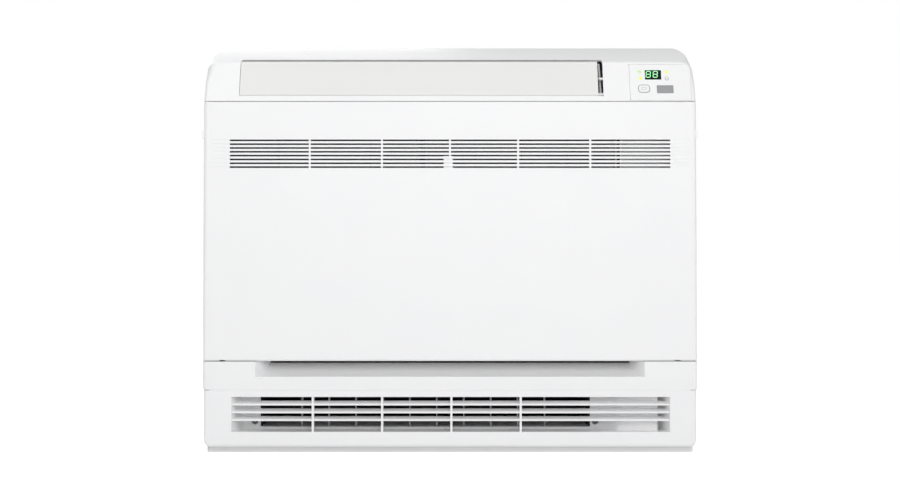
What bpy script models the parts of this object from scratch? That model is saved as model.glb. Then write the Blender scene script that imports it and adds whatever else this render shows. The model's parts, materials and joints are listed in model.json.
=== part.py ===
"""Floor console air conditioner, as separate pieces at their real size.

Metres, +Z up, front facing -Y. The origin is under the middle of the foot. A "depth" is measured
back from the front plane, and outlines across X are written as (depth, height).
"""

import math

import bmesh
import bpy
from mathutils import Matrix, Vector

MM = 0.001

# Overall size and walls
WIDTH = 700 * MM
DEPTH = 210 * MM
HEIGHT = 600 * MM
WALL = 2.5 * MM
SEAM = 0.5 * MM
SEAT = 0.3 * MM
RUN = 0.6 * MM
HALF = WIDTH / 2
FRONT = -DEPTH / 2
EDGE_ROUND = 6 * MM

# Heights of the seams, and where the front casings meet the rear base
FOOT_HEIGHT = 8 * MM
COVER_TOP = 89 * MM
RIDGE_HEIGHT = 107.7 * MM
RIDGE_LIP = 0.4 * MM
PANEL_BOTTOM = 130 * MM
CAP_BOTTOM = 498.6 * MM
REAR_SPLIT = 150 * MM
BACK_WALL = 4 * MM
FLOOR = 3 * MM

# Front panel and its hinge
PANEL_LEAN = math.radians(1.9)
PANEL_RETURN = 32 * MM
PANEL_SILL = 14 * MM
PANEL_LIP_SPREAD = 40 * MM
NOSE_RADIUS = 3.5 * MM
NOSE_DEPTH = 3.9 * MM
EAR_X = HALF - 28 * MM
EAR_WIDTH = 6 * MM
EYE_RADIUS = 2.4 * MM
EYE_STEP = 0.1 * MM
HINGE_PIN_RADIUS = 1.1 * MM
HINGE_PIN_REACH = 3 * MM
TAB_HEIGHT = 451 * MM
TAB_SIZE = (2 * MM, 12 * MM, 10 * MM)

# Intake slots of the panel
SLOT_ROWS = 8
SLOT_PITCH = 5.43 * MM
SLOT_OPENING = 2.4 * MM
SLOT_BOTTOM = 403.4 * MM
SLOT_HALF_WIDTH = HALF - 37.4 * MM
SLOT_RIBS = (-199 * MM, -96.6 * MM, 0.0, 96.6 * MM, 199 * MM)
SLOT_RIB_WIDTH = 2.8 * MM
GROOVE_END = HALF - 10 * MM
GROOVE_DEPTH = 0.6 * MM
BOSS_SIZE = (13 * MM, 6 * MM, 21 * MM)

# Hand recess under the panel
RECESS_HALF = HALF - 75 * MM
RECESS_DEEP_HALF = RECESS_HALF - 21 * MM
RECESS_DEPTH = 34 * MM
RAIL_HEIGHT = 12 * MM

# Lower cover, its outlet pocket and slats
COVER_INSET = 1.2 * MM
COVER_DEPTH_FRONT = 0.8 * MM
COVER_CORNER = 10 * MM
COVER_EDGE = 5 * MM
POCKET_LEFT = -HALF + 41 * MM
POCKET_RIGHT = HALF - 39 * MM
POCKET_BOTTOM = 30 * MM
POCKET_TOP = 79.5 * MM
POCKET_DEPTH = 34 * MM
POCKET_TAPER = 12 * MM
OUTLET_LEFT = POCKET_LEFT + 37.3 * MM
OUTLET_RIGHT = POCKET_RIGHT - 110.2 * MM
CHEEK_RADIUS = 60 * MM
SLAT_FRONTS = (45.2 * MM, 56.1 * MM, 67.2 * MM)
SLAT_NOSE = 2.5 * MM
SLAT_CHORD = 13 * MM
SLAT_TILT = math.radians(13)
SLAT_TAIL = 1.6 * MM
SLAT_DEPTH = 3 * MM
COVER_RIBS = (-194 * MM, -96 * MM, 2 * MM, 100 * MM)
COVER_RIB_WIDTH = 3 * MM
SCREW_X = (OUTLET_LEFT - 8.1 * MM, OUTLET_RIGHT + 7.6 * MM)
SCREW_Z = 41.9 * MM
SCREW_WELL = 5.2 * MM
SCREW_HEAD = 4 * MM
SCREW_SHANK = 1.8 * MM
SCREW_LENGTH = 13 * MM

# Top cap: leaning face, rounded edge, convex top
CAP_DEPTH_FRONT = 11.5 * MM
CAP_LEAN = math.radians(21)
CAP_FACE = 61.6 * MM
CAP_EDGE = 7 * MM
CAP_TOP_SLOPE = math.radians(18)
CAP_INSET = 0.5 * MM
CAP_CORNER = 18 * MM
CAP_REAR_CORNER = 4 * MM
OPENING_LEFT = -HALF + 50 * MM
OPENING_RIGHT = HALF - 131.5 * MM
OPENING_START = 8.1 * MM
OPENING_REAR = 52 * MM
VANE_REAR = 39.5 * MM

# Upper vane
VANE_RIGHT = OPENING_RIGHT - 7.5 * MM
VANE_WALL = 2.5 * MM
VANE_BARREL = 3 * MM
VANE_PIN = 1.8 * MM
VANE_PIN_LENGTH = 5 * MM

# Display plate, in the plane of the leaning face: across (x) and up the face
PLATE_LEFT = HALF - 93.5 * MM
PLATE_RIGHT = HALF - 7 * MM
PLATE_LOW = 1.2 * MM
PLATE_HIGH = 58.2 * MM
PLATE_CORNER = 8 * MM
WINDOW = (PLATE_LEFT + 22.1 * MM, PLATE_LEFT + 45.2 * MM, 34 * MM, 49 * MM)
RECEIVER = (PLATE_LEFT + 38.5 * MM, PLATE_LEFT + 61.5 * MM, 12.6 * MM, 24.6 * MM)
RECEIVER_CORNER = 0.6 * MM
BUTTON = (PLATE_LEFT + 12.4 * MM, PLATE_LEFT + 27.4 * MM, 14 * MM, 24.8 * MM)
BUTTON_CORNER = 3.6 * MM
BUTTON_TRAVEL = 1 * MM
LIGHTS = (
    (PLATE_LEFT + 14.2 * MM, 46.7 * MM),
    (PLATE_LEFT + 14.9 * MM, 36.2 * MM),
    (PLATE_LEFT + 52.8 * MM, 46.1 * MM),
    (PLATE_LEFT + 53.2 * MM, 36.1 * MM),
)
LIGHT_RADIUS = 2.5 * MM

# Air path: filters, coil, fan and ducts
AIR_LEFT = -HALF + 32 * MM
AIR_RIGHT = HALF - 110 * MM
FILTER_GAP = 6 * MM
FILTER_DEPTH = 36 * MM
FILTER_WALL = 4 * MM
FILTER_HEIGHT = 324 * MM
FILTER_LIFT = 13 * MM
FILTER_FRAME = 7 * MM
RAIL_BACK = FILTER_DEPTH + FILTER_WALL / 2 + 0.4 * MM
FILTER_COLUMNS = 4
FILTER_ROWS = 6
FILTER_BAR = 1.6 * MM
COIL_FRONT = 42 * MM
COIL_DEPTH = 28 * MM
COIL_LOW = 150 * MM
COIL_HIGH = 458 * MM
COIL_FINS = 52
COIL_TUBE = 4.8 * MM
COIL_ROWS = 6
ORIFICE_DEPTH = 84 * MM
ORIFICE_WALL = 3 * MM
CASING_DEPTH = 88 * MM
CASING_LOW = 126 * MM
CASING_HIGH = 466 * MM
FAN_X = -36 * MM
CASING_LEFT = FAN_X - 232.5 * MM
CASING_RIGHT = FAN_X + 237.5 * MM
CASING_SHELL = 8 * MM
CASING_BACK = DEPTH - BACK_WALL - SEAT - CASING_SHELL
FAN_Z = 300 * MM
FAN_RADIUS = 155 * MM
FAN_EYE = 118 * MM
FAN_FRONT = 93 * MM
FAN_BACK = 160 * MM
FAN_BLADES = 9
FAN_WALL = 2.2 * MM
SCROLL_RADIUS = 170 * MM
THROAT_HALF = 140 * MM
SHAFT_RADIUS = 4 * MM
HUB_RADIUS = 13 * MM
MOTOR_RADIUS = 40 * MM
MOTOR_FRONT = FAN_FRONT + 41 * MM
MOTOR_BACK = CASING_BACK - 13.7 * MM

# Lower duct, its damper and fins
DUCT_WALL = 2.5 * MM
DUCT_LOW = 33.5 * MM
DUCT_ROOF = 79.5 * MM
DUCT_BEND = 40 * MM
DAMPER_DEPTH = 80 * MM
DAMPER_CHORD = 40 * MM
DAMPER_WALL = 2.4 * MM
PIVOT_HOLE = 1.9 * MM
PIVOT_PIN = 1.5 * MM
LINK_PIN = 1.2 * MM
LOWER_FINS = 10
LOWER_FIN_START = OUTLET_LEFT + 58.7 * MM
LOWER_FIN_PITCH = (OUTLET_RIGHT - OUTLET_LEFT - 123.3 * MM) / (LOWER_FINS - 1)
LOWER_FIN_DEPTH = 46 * MM
LOWER_FIN_CHORD = (7.5 * MM, 8.5 * MM)
FIN_WALL = 1.4 * MM
LINK_ARM = 7 * MM
LINK_WIDTH = 5 * MM
LINK_HEIGHT = 2.2 * MM

# Upper duct and fins
UPPER_FINS = 8
UPPER_FIN_START = OPENING_LEFT + 38 * MM
UPPER_FIN_PITCH = (OPENING_RIGHT - OPENING_LEFT - 77.5 * MM) / (UPPER_FINS - 1)
UPPER_FIN_DEPTH = 76 * MM
UPPER_FIN_LOW = 493 * MM
UPPER_FIN_HIGH = 532 * MM
UPPER_FIN_CHORD = (13 * MM, 14 * MM)

# Control bay
BOX_LEFT = AIR_RIGHT + 22 * MM
BOX_DEPTH = (44 * MM, 140 * MM)
BOX_HEIGHT = (170 * MM, 468 * MM)

MERGE = 0.00001

PARTS_NAME = "floor_console_air_conditioner"


# Scene set-up and finishes


def clear_scene():
    for old in list(bpy.data.objects):
        bpy.data.objects.remove(old, do_unlink=True)


def collection(name, hidden):
    made = bpy.data.collections.new(name)
    bpy.context.scene.collection.children.link(made)
    made.hide_render = hidden
    return made


def finish(name, colour, roughness, metallic=0.0):
    made = bpy.data.materials.new(name)
    made.use_nodes = True
    shader = made.node_tree.nodes["Principled BSDF"]
    shader.inputs["Base Color"].default_value = (*colour, 1)
    shader.inputs["Roughness"].default_value = roughness
    shader.inputs["Metallic"].default_value = metallic
    made.diffuse_color = (*colour, 1)
    return made


def place_object(name, mesh, material):
    """A part when it has a material, otherwise a hidden cutter or guide."""
    made = bpy.data.objects.new(name, mesh)
    if material is None:
        CUTTERS.objects.link(made)
        hide(made)
    else:
        PARTS.objects.link(made)
        mesh.materials.clear()
        mesh.materials.append(material)
    return made


def hide(guide):
    guide.hide_render = True
    guide.display_type = "WIRE"


def from_bmesh(name, work, material, smooth=False):
    mesh = bpy.data.meshes.new(name)
    work.to_mesh(mesh)
    work.free()
    if smooth:
        mesh.shade_smooth()
        mesh.set_sharp_from_angle(angle=math.radians(35))
    return place_object(name, mesh, material)


# Shape helpers


def arc(centre, radius, start, stop, steps):
    """Points on a circle from one angle to another, both in degrees."""
    angles = [math.radians(start + (stop - start) * step / steps) for step in range(steps + 1)]
    return [(centre[0] + radius * math.cos(a), centre[1] + radius * math.sin(a)) for a in angles]


def smooth_step(value, low, high):
    share = min(max((value - low) / (high - low), 0.0), 1.0)
    return share * share * (3 - 2 * share)


def grown(outline, distance):
    """A closed outline moved outwards by a distance, its corners kept sharp."""
    area = sum(a[0] * b[1] - b[0] * a[1] for a, b in zip(outline, outline[1:] + outline[:1]))
    side = math.copysign(1.0, area)
    moved = []
    for before, point, after in zip(outline[-1:] + outline[:-1], outline, outline[1:] + outline[:1]):
        first = (Vector(point) - Vector(before)).normalized()
        second = (Vector(after) - Vector(point)).normalized()
        normals = Vector((first.y, -first.x)) * side + Vector((second.y, -second.x)) * side
        normals /= 1 + first.dot(second)
        moved.append((point[0] + normals.x * distance, point[1] + normals.y * distance))
    return moved


def blocks(name, spans, material=None):
    """Square blocks that stand apart, in one mesh; each is its span in x, in depth and in height."""
    work = bmesh.new()
    for x, depth, z in spans:
        size = (x[1] - x[0], depth[1] - depth[0], z[1] - z[0])
        middle = ((x[0] + x[1]) / 2, FRONT + (depth[0] + depth[1]) / 2, (z[0] + z[1]) / 2)
        place = Matrix.Translation(middle) @ Matrix.Diagonal((*size, 1))
        bmesh.ops.create_cube(work, size=1, matrix=place)
    return from_bmesh(name, work, material)


AXES = {
    "X": Matrix(((0, 0, 1, 0), (1, 0, 0, FRONT), (0, 1, 0, 0), (0, 0, 0, 1))),
    "Y": Matrix(((1, 0, 0, 0), (0, 0, -1, FRONT), (0, 1, 0, 0), (0, 0, 0, 1))),
    "Z": Matrix(((1, 0, 0, 0), (0, 1, 0, FRONT), (0, 0, 1, 0), (0, 0, 0, 1))),
}


def prism(name, outlines, low, high, axis, material=None, place=None):
    """Flat outlines, the inner ones holes, drawn out along an axis between two limits.

    Outlines are (depth, height) along X, (x, height) along Y, and (x, depth) along Z.
    """
    curve = bpy.data.curves.new(name, "CURVE")
    curve.dimensions = "2D"
    curve.fill_mode = "BOTH"
    curve.extrude = (high - low) / 2
    for outline in outlines:
        spline = curve.splines.new("POLY")
        spline.points.add(len(outline) - 1)
        spline.use_cyclic_u = True
        for point, (a, b) in zip(spline.points, outline):
            point.co = (a, b, 0, 1)
    drawn = bpy.data.objects.new(name, curve)
    bpy.context.scene.collection.objects.link(drawn)
    evaluated = drawn.evaluated_get(bpy.context.evaluated_depsgraph_get())
    mesh = bpy.data.meshes.new_from_object(evaluated)
    bpy.data.objects.remove(drawn)
    bpy.data.curves.remove(curve)
    middle = (low + high) / 2
    along = -middle if axis == "Y" else middle
    work = bmesh.new()
    work.from_mesh(mesh)
    bpy.data.meshes.remove(mesh)
    bmesh.ops.remove_doubles(work, verts=work.verts, dist=MERGE / 10)
    bmesh.ops.transform(work, matrix=AXES[axis] @ Matrix.Translation((0, 0, along)), verts=work.verts)
    if place is not None:
        bmesh.ops.transform(work, matrix=place, verts=work.verts)
    bmesh.ops.dissolve_limit(work, angle_limit=math.radians(0.2), verts=work.verts, edges=work.edges)
    bmesh.ops.recalc_face_normals(work, faces=work.faces)
    return from_bmesh(name, work, material)


def add_rod(work, start, end, radius, sides, end_radius=None):
    """A round rod between two points given as (x, depth, height)."""
    first = Vector((start[0], FRONT + start[1], start[2]))
    last = Vector((end[0], FRONT + end[1], end[2]))
    turn = (last - first).to_track_quat("Z", "X").to_matrix().to_4x4()
    place = Matrix.Translation((first + last) / 2) @ turn
    bmesh.ops.create_cone(
        work,
        cap_ends=True,
        segments=sides,
        radius1=radius,
        radius2=radius if end_radius is None else end_radius,
        depth=(last - first).length,
        matrix=place,
    )


def rods(name, lines, radius, sides, material=None):
    """Round rods that stand apart, in one mesh; each is its two ends as (x, depth, height)."""
    work = bmesh.new()
    for start, end in lines:
        add_rod(work, start, end, radius, sides)
    return from_bmesh(name, work, material, smooth=True)


def turned(name, profile, centre, sides, material=None):
    """A closed profile of (radius, depth) turned about the line along Y through centre (x, height).

    It is listed down its outer side, front to back, and returns along its inner side.
    """
    mesh = bpy.data.meshes.new(name)
    points = [(radius, 0, -depth) for radius, depth in profile]
    edges = [(k, (k + 1) % len(points)) for k in range(len(points))]
    mesh.from_pydata(points, edges, [])
    made = place_object(name, mesh, material)
    made.location = (centre[0], FRONT, centre[1])
    made.rotation_euler = (math.radians(90), 0, 0)
    screw = made.modifiers.new("turn", "SCREW")
    screw.steps = screw.render_steps = sides
    screw.use_merge_vertices = True
    screw.merge_threshold = MERGE
    screw.use_smooth_shade = True
    return made


def tube(name, points, radius, sides_setting, material=None):
    """A pipe along points given as (x, depth, height)."""
    curve = bpy.data.curves.new(name, "CURVE")
    curve.dimensions = "3D"
    curve.bevel_depth = radius
    curve.bevel_resolution = sides_setting
    curve.use_fill_caps = True
    spline = curve.splines.new("POLY")
    spline.points.add(len(points) - 1)
    for point, (x, depth, z) in zip(spline.points, points):
        point.co = (x, FRONT + depth, z, 1)
    drawn = bpy.data.objects.new(name, curve)
    bpy.context.scene.collection.objects.link(drawn)
    evaluated = drawn.evaluated_get(bpy.context.evaluated_depsgraph_get())
    mesh = bpy.data.meshes.new_from_object(evaluated)
    bpy.data.objects.remove(drawn)
    bpy.data.curves.remove(curve)
    work = bmesh.new()
    work.from_mesh(mesh)
    bpy.data.meshes.remove(mesh)
    bmesh.ops.remove_doubles(work, verts=work.verts, dist=MERGE)
    bmesh.ops.recalc_face_normals(work, faces=work.faces)
    return from_bmesh(name, work, material, smooth=True)


def skin(name, outline, inward, radii, rear, half_width, material, steps=4):
    """A moulded casing: an outline drawn out sideways and rounded into flat side walls.

    inward is the way each outline point sinks in the rounding, radii is how far, and rear closes
    the side wall behind the outline. Outlines run up the front and back along the top.
    """
    work = bmesh.new()
    columns = [[work.verts.new((0, FRONT + depth, z)) for depth, z in outline]]
    for step in range(steps + 1):
        turn = math.pi / 2 * step / steps
        column = []
        for (depth, z), (back, up), radius in zip(outline, inward, radii):
            drop = radius * (1 - math.cos(turn))
            x = half_width - radius + radius * math.sin(turn)
            column.append(work.verts.new((x, FRONT + depth + back * drop, z + up * drop)))
        columns.append(column)
    for near, far in zip(columns, columns[1:]):
        for k in range(len(outline) - 1):
            work.faces.new((near[k], far[k], far[k + 1], near[k + 1]))
    side = columns[-1] + [work.verts.new((half_width, FRONT + depth, z)) for depth, z in rear]
    work.faces.new(reversed(side))
    made = from_bmesh(name, work, material, smooth=True)
    mirror = made.modifiers.new("other_half", "MIRROR")
    mirror.merge_threshold = MERGE
    wall = made.modifiers.new("wall", "SOLIDIFY")
    wall.thickness = WALL
    wall.offset = -1
    wall.use_even_offset = True
    return made


def boolean(target, tool, operation):
    step = target.modifiers.new(tool.name, "BOOLEAN")
    step.operation = operation
    step.solver = "EXACT"
    step.object = tool
    return target


def cut(target, *tools):
    for tool in tools:
        boolean(target, tool, "DIFFERENCE")
    return target


def join(target, *tools):
    for tool in tools:
        boolean(target, tool, "UNION")
    return target


def close_slivers(obj):
    """Merges the hair-thin triangles that meeting cutters leave behind."""
    weld = obj.modifiers.new("close_slivers", "WELD")
    weld.merge_threshold = 0.06 * MM


def pivot_at(made, x, depth, z):
    """Moves the origin of a moving piece onto its joint without moving its surface."""
    point = Vector((x, FRONT + depth, z))
    made.data.transform(Matrix.Translation(-point))
    made.location = point
    return made


# The leaning face of the cap and its outline


def face_point(up, inwards=0.0):
    """Depth and height of a point on the leaning face: up the face, and inwards from it."""
    depth = CAP_DEPTH_FRONT + up * math.sin(CAP_LEAN) + inwards * math.cos(CAP_LEAN)
    return depth, CAP_BOTTOM + up * math.cos(CAP_LEAN) - inwards * math.sin(CAP_LEAN)


EDGE_TURN = math.pi / 2 - CAP_LEAN - CAP_TOP_SLOPE
EDGE_TANGENT = CAP_EDGE * math.tan(EDGE_TURN / 2)
EDGE_CENTRE = face_point(CAP_FACE - EDGE_TANGENT, CAP_EDGE)
TOP_START = (
    EDGE_CENTRE[0] - CAP_EDGE * math.sin(CAP_TOP_SLOPE),
    EDGE_CENTRE[1] + CAP_EDGE * math.cos(CAP_TOP_SLOPE),
)


def top_height(depth):
    """Height of the convex top at a depth: it leaves the edge at its slope and ends at the full height."""
    share = (depth - TOP_START[0]) / (DEPTH - TOP_START[0])
    crest = TOP_START[1] + math.tan(CAP_TOP_SLOPE) * (DEPTH - TOP_START[0]) / 2
    return (1 - share) ** 2 * TOP_START[1] + 2 * share * (1 - share) * crest + share**2 * HEIGHT


def edge_points(inwards, steps):
    """The rounded edge between the face and the top."""
    start = 180 - math.degrees(CAP_LEAN)
    stop = 90 + math.degrees(CAP_TOP_SLOPE)
    return arc(EDGE_CENTRE, CAP_EDGE - inwards, start, stop, steps)


def cap_outline(steps_face, steps_edge, steps_top):
    face = [face_point((CAP_FACE - EDGE_TANGENT) * k / steps_face) for k in range(steps_face)]
    edge = edge_points(0.0, steps_edge)
    top_depths = [
        TOP_START[0] + (DEPTH - TOP_START[0]) * (k / steps_top) ** 1.3
        for k in range(1, steps_top + 1)
    ]
    return face + edge + [(depth, top_height(depth)) for depth in top_depths]


FACE_PLACE = (
    Matrix.Translation((0, FRONT + CAP_DEPTH_FRONT, CAP_BOTTOM)) @ Matrix.Rotation(-CAP_LEAN, 4, "X")
)
FLAT_PLACE = FACE_PLACE @ Matrix.Translation((0, -FRONT, 0))


def face_prism(name, outlines, shallow, deep, material=None):
    """Outlines of (x, up the face), drawn inwards from one distance below the face to another."""
    return prism(name, outlines, shallow, deep, "Y", material, place=FLAT_PLACE)


def rounded(left, right, low, high, radius, steps=3):
    """A rectangle with rounded corners."""
    corners = (
        ((right - radius, low + radius), 270),
        ((right - radius, high - radius), 0),
        ((left + radius, high - radius), 90),
        ((left + radius, low + radius), 180),
    )
    return [p for centre, start in corners for p in arc(centre, radius, start, start + 90, steps)]


# Casings


def make_top_cap(white):
    spare = 3 * MM
    outline = [face_point(-spare), *cap_outline(4, 4, 10), (DEPTH + spare, top_height(DEPTH + spare))]
    lengths = [0.0]
    for a, b in zip(outline, outline[1:]):
        lengths.append(lengths[-1] + math.dist(a, b))
    before, after = 35 * MM, 45 * MM
    inward, radii = [], []
    for length in lengths:
        turn = math.pi / 2 * smooth_step(length, CAP_FACE - before, CAP_FACE + after)
        inward.append((math.cos(turn), -math.sin(turn)))
        rise = (CAP_CORNER - EDGE_ROUND) * smooth_step(length, CAP_FACE - before, CAP_FACE)
        fall = (CAP_CORNER - CAP_REAR_CORNER) * smooth_step(length, CAP_FACE, CAP_FACE + 2 * after)
        radii.append(EDGE_ROUND + rise - fall)
    half = HALF - CAP_INSET
    cap = skin("top_cap", outline, inward, radii, [(DEPTH + spare, face_point(-spare)[1])], half, white)

    across = (-HALF - spare, HALF + spare)
    below = (across, (-20 * MM, DEPTH + 20 * MM), (CAP_BOTTOM - 10 * MM, CAP_BOTTOM))
    behind = (across, (DEPTH, DEPTH + 10 * MM), (CAP_BOTTOM - 20 * MM, HEIGHT + 20 * MM))
    cut(cap, blocks("cap_trim_below", [below]), blocks("cap_trim_behind", [behind]))

    reach = 12 * MM
    corner = (TOP_START[0] - 2 * reach, TOP_START[1] + reach)
    opening = [
        face_point(OPENING_START, -reach),
        face_point(OPENING_START, WALL + 4 * MM),
        (OPENING_REAR + reach, top_height(OPENING_REAR) - reach),
        (OPENING_REAR - reach, top_height(OPENING_REAR) + reach),
        corner,
    ]
    cut(cap, prism("cap_opening", [opening], OPENING_LEFT, OPENING_RIGHT, "X"))
    plate_hole = plate_outline(SEAT)
    cut(cap, face_prism("cap_plate_hole", [plate_hole], -4 * MM, WALL + 3 * MM))

    ears = []
    for name, low, high in (
        ("cap_ear_left", OPENING_LEFT - 3.5 * MM, OPENING_LEFT - RUN),
        ("cap_ear_right", OPENING_RIGHT + RUN, OPENING_RIGHT + 3.5 * MM),
    ):
        ear = [
            face_point(4 * MM, WALL - 1 * MM),
            face_point(4 * MM, 8 * MM),
            face_point(20 * MM, 8 * MM),
            face_point(26 * MM, WALL - 1 * MM),
        ]
        ears.append(prism(name, [ear], low, high, "X"))
    join(cap, *ears)
    x_ends = (OPENING_LEFT - 6 * MM, OPENING_RIGHT + 6 * MM)
    lines = [
        ((x_ends[0], *VANE_AXIS), (OPENING_LEFT + 2 * MM, *VANE_AXIS)),
        ((OPENING_RIGHT - 2 * MM, *VANE_AXIS), (x_ends[1], *VANE_AXIS)),
    ]
    cut(cap, rods("cap_ear_holes", lines, VANE_PIN + 0.4 * MM, 12))
    bridge = [
        face_point(36 * MM, 3.6 * MM),
        face_point(36 * MM, 6 * MM),
        face_point(39 * MM, 6 * MM),
        face_point(39 * MM, 3.6 * MM),
    ]
    bridge_ear = [
        face_point(30 * MM, WALL - 1 * MM),
        face_point(30 * MM, 7 * MM),
        face_point(44 * MM, 7 * MM),
        face_point(44 * MM, WALL - 1 * MM),
    ]
    join(cap, prism("cap_bridge_ear", [bridge_ear], OPENING_RIGHT + RUN, OPENING_RIGHT + 3 * MM, "X"))
    join(cap, prism("cap_bridge", [bridge], VANE_RIGHT + 1.5 * MM, OPENING_RIGHT + 2 * MM, "X"))
    close_slivers(cap)
    return cap


VANE_AXIS = face_point(OPENING_START + RUN + VANE_BARREL, VANE_BARREL)


def vane_outline():
    """The vane follows the cap's skin from its barrel, over the edge, to the rear of the opening."""
    rear = VANE_REAR
    start = OPENING_START + RUN + VANE_BARREL
    outer = [face_point(start)] + edge_points(0.0, 4) + [(rear, top_height(rear))]
    inner = [(rear, top_height(rear) - VANE_WALL)] + edge_points(VANE_WALL, 3)[::-1]
    inner.append(face_point(start + VANE_BARREL, VANE_WALL))
    lean = math.degrees(CAP_LEAN)
    barrel = arc(VANE_AXIS, VANE_BARREL, 0 - lean + 30, -180 - lean, 8)[:-1]
    return outer + inner + barrel


def make_upper_vane(grey):
    vane = prism("upper_vane", [vane_outline()], OPENING_LEFT + RUN, VANE_RIGHT, "X", grey)
    pins = [
        ((OPENING_LEFT - 3 * MM, *VANE_AXIS), (OPENING_LEFT + 4 * MM, *VANE_AXIS)),
        ((VANE_RIGHT - 4 * MM, *VANE_AXIS), (OPENING_RIGHT + 3 * MM, *VANE_AXIS)),
    ]
    join(vane, rods("vane_pins", pins, VANE_PIN, 10))
    return pivot_at(vane, 0, *VANE_AXIS)


def plate_outline(extra):
    low, high = PLATE_LOW - extra, PLATE_HIGH + extra
    left, right = PLATE_LEFT - extra, PLATE_RIGHT + extra
    top_corner = arc((right - PLATE_CORNER, high - PLATE_CORNER), PLATE_CORNER, 0, 90, 4)
    return [(left, low), (right, low), *top_corner, (left, high)]


def make_display(white, black, grey, clear, board):
    holes = [
        rounded(*inset(WINDOW, -SEAT), 0.8 * MM),
        rounded(*inset(RECEIVER, -SEAT), RECEIVER_CORNER + SEAT),
        rounded(*inset(BUTTON, -SEAT), BUTTON_CORNER + SEAT),
    ]
    holes += [arc(light, LIGHT_RADIUS, 0, 330, 11) for light in LIGHTS]
    face_prism("display_insert", [plate_outline(0.0), *holes], 0.0, WALL, white)
    face_prism("display_window", [rounded(*WINDOW, 0.8 * MM)], 0.0, WALL, black)
    receiver = face_prism("receiver_window", [rounded(*RECEIVER, RECEIVER_CORNER)], 0.0, WALL, grey)
    lip = inset(RECEIVER, -1.2 * MM)
    join(receiver, face_prism("receiver_lip", [rounded(*lip, 2 * MM)], WALL + SEAT, WALL + 1.6 * MM))
    join(
        receiver,
        face_prism("receiver_neck", [rounded(*inset(RECEIVER, 1 * MM), 2 * MM)], 1 * MM, WALL + 1 * MM),
    )

    base_low, base_high = WINDOW[2] - 2.6 * MM, WINDOW[3] + 2.6 * MM
    guide_back = WALL + SEAT + 2 * MM
    base = rounded(LIGHTS[0][0] - 4.7 * MM, LIGHTS[3][0] + 4.7 * MM, base_low, base_high, 1 * MM, 2)
    guide = face_prism("led_light_guide", [base], WALL + SEAT, guide_back, clear)
    for number, (x, up) in enumerate(LIGHTS):
        post = arc((x, up), LIGHT_RADIUS - SEAT - 0.1 * MM, 0, 330, 11)
        join(guide, face_prism(f"light_post_{number}", [post], 0.2 * MM, WALL + 1 * MM))

    board_front = guide_back + SEAT
    outline = rounded(PLATE_LEFT + 3 * MM, PLATE_RIGHT - 4 * MM, 7 * MM, PLATE_HIGH - 3 * MM, 1 * MM, 2)
    face_prism("display_board", [outline], board_front, board_front + 1.6 * MM, board)

    stem_end = board_front - BUTTON_TRAVEL - 0.2 * MM
    button = face_prism(
        "on_off_button",
        [rounded(*BUTTON, BUTTON_CORNER)],
        -0.6 * MM,
        WALL + SEAT + 0.4 * MM,
        white,
    )
    flange = rounded(*inset(BUTTON, -1.2 * MM), 3 * MM)
    join(button, face_prism("button_flange", [flange], WALL + SEAT, stem_end))
    depth, z = face_point((BUTTON[2] + BUTTON[3]) / 2)
    return pivot_at(button, (BUTTON[0] + BUTTON[1]) / 2, depth, z)


def inset(rectangle, distance):
    left, right, low, high = rectangle
    return left + distance, right - distance, low + distance, high - distance


HINGE = (NOSE_DEPTH, PANEL_BOTTOM + NOSE_RADIUS)
PANEL_TOP = CAP_BOTTOM - SEAM


def panel_face_depth(z):
    """Depth of the leaning panel face at a height."""
    return HINGE[0] - NOSE_RADIUS / math.cos(PANEL_LEAN) + (z - HINGE[1]) * math.tan(PANEL_LEAN)


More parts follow.
